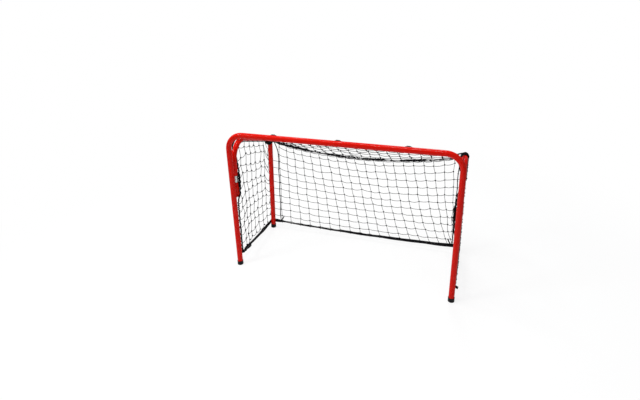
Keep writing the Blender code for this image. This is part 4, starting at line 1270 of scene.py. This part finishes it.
STRAP_FRONT_HEIGHT = 0.050
STRAP_SAG = 0.004
DOUBLED = 0.062             # the strap's turned back end
RING_BACK = 0.0340          # the ring's middle behind the front plane
RING_INBOARD = 0.006
RING_R = 0.0095
RING_WIRE = 0.0012
RING_OUTER = RING_R + RING_WIRE
RING_INNER = math.sqrt((RING_R * math.cos(math.pi / 16) - RING_WIRE) ** 2 - (STRAP_WIDTH / 2) ** 2)
PLAY = 0.00045              # between a wire and the webbing that turns round it
LOOP_R = (RING_OUTER - RING_INNER) / 2 + PLAY + STRAP_THICKNESS / 2
STAPLE_WIRE = 0.0015
STAPLE_REACH = 0.0065       # from the post's surface to the middle of the wire
STAPLE_HALF = 0.0083


def ring_bar(side, direction):
    """Where webbing turns in the ring, seen from above: -1 is the front of the ring, and 1 its rear."""
    return goal_point(side, RING_INBOARD, RING_BACK + direction * (RING_OUTER + RING_INNER) / 2, 0).to_2d()


def belt_path(centre_a, radius_a, centre_b, radius_b, height):
    """A closed loop round two circles in plan."""
    gap = centre_b - centre_a
    heading = math.atan2(gap.y, gap.x)
    open_angle = math.acos((radius_a - radius_b) / gap.length)
    points = []
    for centre, radius, start, turn, steps in (
        (centre_a, radius_a, heading + open_angle, 2 * (math.pi - open_angle), 30),
        (centre_b, radius_b, heading - open_angle, 2 * open_angle, 12),
    ):
        for k in range(steps + 1):
            angle = start + turn * k / steps
            place = centre + Vector((math.cos(angle), math.sin(angle))) * radius
            points.append(Vector((place.x, place.y, height)))
    return points


def stitches(shape, start, end, out, count):
    """A row of short threads that lie on the strap."""
    run = (end - start) / count
    for k in range(count):
        a = start + run * (k + 0.12)
        b = start + run * (k + 0.80)
        thread = [a - out * 0.0002, a.lerp(b, 0.25) + out * 0.0001,
                  a.lerp(b, 0.75) + out * 0.0001, b - out * 0.0002]
        sweep(shape, thread, circle(0.00022, 5), up=out)


def strap_point(place):
    """The side strap's line over a place in plan: it falls to the rear and sags a little."""
    front = FRONT_Y + RING_BACK
    rear = FRONT_Y + leg_back(STRAP_REAR_HEIGHT)
    share = min(1, max(0, (place.y - front) / (rear - front)))
    fall = (STRAP_FRONT_HEIGHT - STRAP_LEG_HEIGHT) * share + STRAP_SAG * hang(share)
    return Vector((place.x, place.y, STRAP_FRONT_HEIGHT - fall))


for side, word in NAMES.items():
    shape = Shape()
    bar = goal_point(side, 0, TUBE_R + STAPLE_REACH, 0).to_2d()
    turn_r = STAPLE_WIRE + PLAY + STRAP_THICKNESS / 2
    belt = belt_path(bar, turn_r, ring_bar(side, -1), LOOP_R, STRAP_FRONT_HEIGHT)
    strap(shape, belt, closed=True)
    inner = Vector((-side, 0, 0))
    seam = goal_point(side, 0.0064, 0.0216, STRAP_FRONT_HEIGHT)
    for z in (-0.0045, 0.0045):
        run = Vector((-side * 0.0012, 0.0022, 0))
        stitches(shape, seam - run + UP * z, seam + run + UP * z, inner, 2)
    if side == RIGHT:
        tail = [goal_point(side, inboard, behind, height) for inboard, behind, height in
                ((0.0062, 0.0273, 0.050), (0.0020, 0.0293, 0.050), (-0.0050, 0.0291, 0.0495),
                 (-0.0120, 0.0267, 0.0485), (-0.0170, 0.0247, 0.0475), (-0.0212, 0.0237, 0.0468))]
        strap(shape, flowing(tail, 4), width=0.012)
    piece(f"post_loop_{word}", "woven", shape, WEBBING, "front_frame", 50)

    shape = Shape()
    corners = [goal_point(side, 0, TUBE_R + out, STRAP_FRONT_HEIGHT + end * STAPLE_HALF)
               for end, out in ((-1, -0.0004), (-1, STAPLE_REACH), (1, STAPLE_REACH), (1, -0.0004))]
    wire = rounded_path(corners, [0.0030, 0.0030], math.radians(12))
    sweep(shape, wire, circle(STAPLE_WIRE, 14), up=ACROSS)
    for end in (-1, 1):
        weld = goal_point(side, 0, TUBE_R + 0.0002, STRAP_FRONT_HEIGHT + end * STAPLE_HALF)
        torus(shape, weld, BACKWARD, 0.0016, 0.0007, 16, 6)
    piece(f"strap_staple_{word}", "welded", shape, RED, "front_frame", 50)

    shape = Shape()
    centre = goal_point(side, RING_INBOARD, RING_BACK, STRAP_FRONT_HEIGHT)
    torus(shape, centre, ACROSS, RING_R, RING_WIRE, 48, 12)
    torus(shape, centre + UP * RING_R, BACKWARD, 0.00075, 0.00062, 12, 8)
    piece(f"strap_ring_{word}", "plated", shape, ZINC, "front_frame", 60)

    shape = Shape()
    bar = ring_bar(side, 1)
    outside = TUBE_R + 0.0006 + STRAP_THICKNESS / 2
    leg = goal_point(side, 0, leg_back(STRAP_REAR_HEIGHT), 0).to_2d()
    tangent = goal_point(side, -outside, leg_back(STRAP_REAR_HEIGHT), 0).to_2d()
    along = (tangent - bar).normalized()
    outer = Vector((side * along.y, -side * along.x))
    main = bar + outer * LOOP_R
    reach = (tangent - main).length
    ply = outer * (STRAP_THICKNESS + 0.0003)
    plan = [main.lerp(tangent, DOUBLED * share / reach) - ply for share in (1, 0.8, 0.6, 0.35)]
    for k in range(13):
        angle = math.pi * k / 12
        plan.append(bar - (outer * math.cos(angle) + along * math.sin(angle)) * LOOP_R)
    plan += [main.lerp(tangent, k / 24) for k in range(1, 24)]
    for k in range(17):
        angle = math.radians(100) * k / 16
        plan.append(leg + Vector((side * math.cos(angle), math.sin(angle))) * outside)
    hangs = [0.0075 * smooth((4.5 - k) / 3) for k in range(len(plan))]
    path = [strap_point(place) - UP * low for place, low in zip(plan, hangs)]
    tilts = []
    widths = []
    for k, point in enumerate(path):
        share = (point.y - FRONT_Y - RING_BACK) / (leg_back(STRAP_REAR_HEIGHT) - RING_BACK)
        tilts.append(side * 0.40 * smooth((k - 12) / 8) * (0.8 + 0.2 * math.sin(k * 0.45)))
        widths.append(1.05 + 0.25 * smooth((share - 0.45) / 0.25) + 0.06 * math.sin(k * 0.8))
    strap(shape, path, tilts=tilts, widths=widths)
    for z in (-0.0048, 0.0048):
        a = strap_point(main.lerp(tangent, 0.012 / reach) + outer * STRAP_THICKNESS / 2)
        b = strap_point(main.lerp(tangent, 0.046 / reach) + outer * STRAP_THICKNESS / 2)
        stitches(shape, a + UP * z, b + UP * z, outer.to_3d(), 12)
    webbing = piece(f"side_strap_{word}", "woven", shape, WEBBING, None, 50)
    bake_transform(webbing)
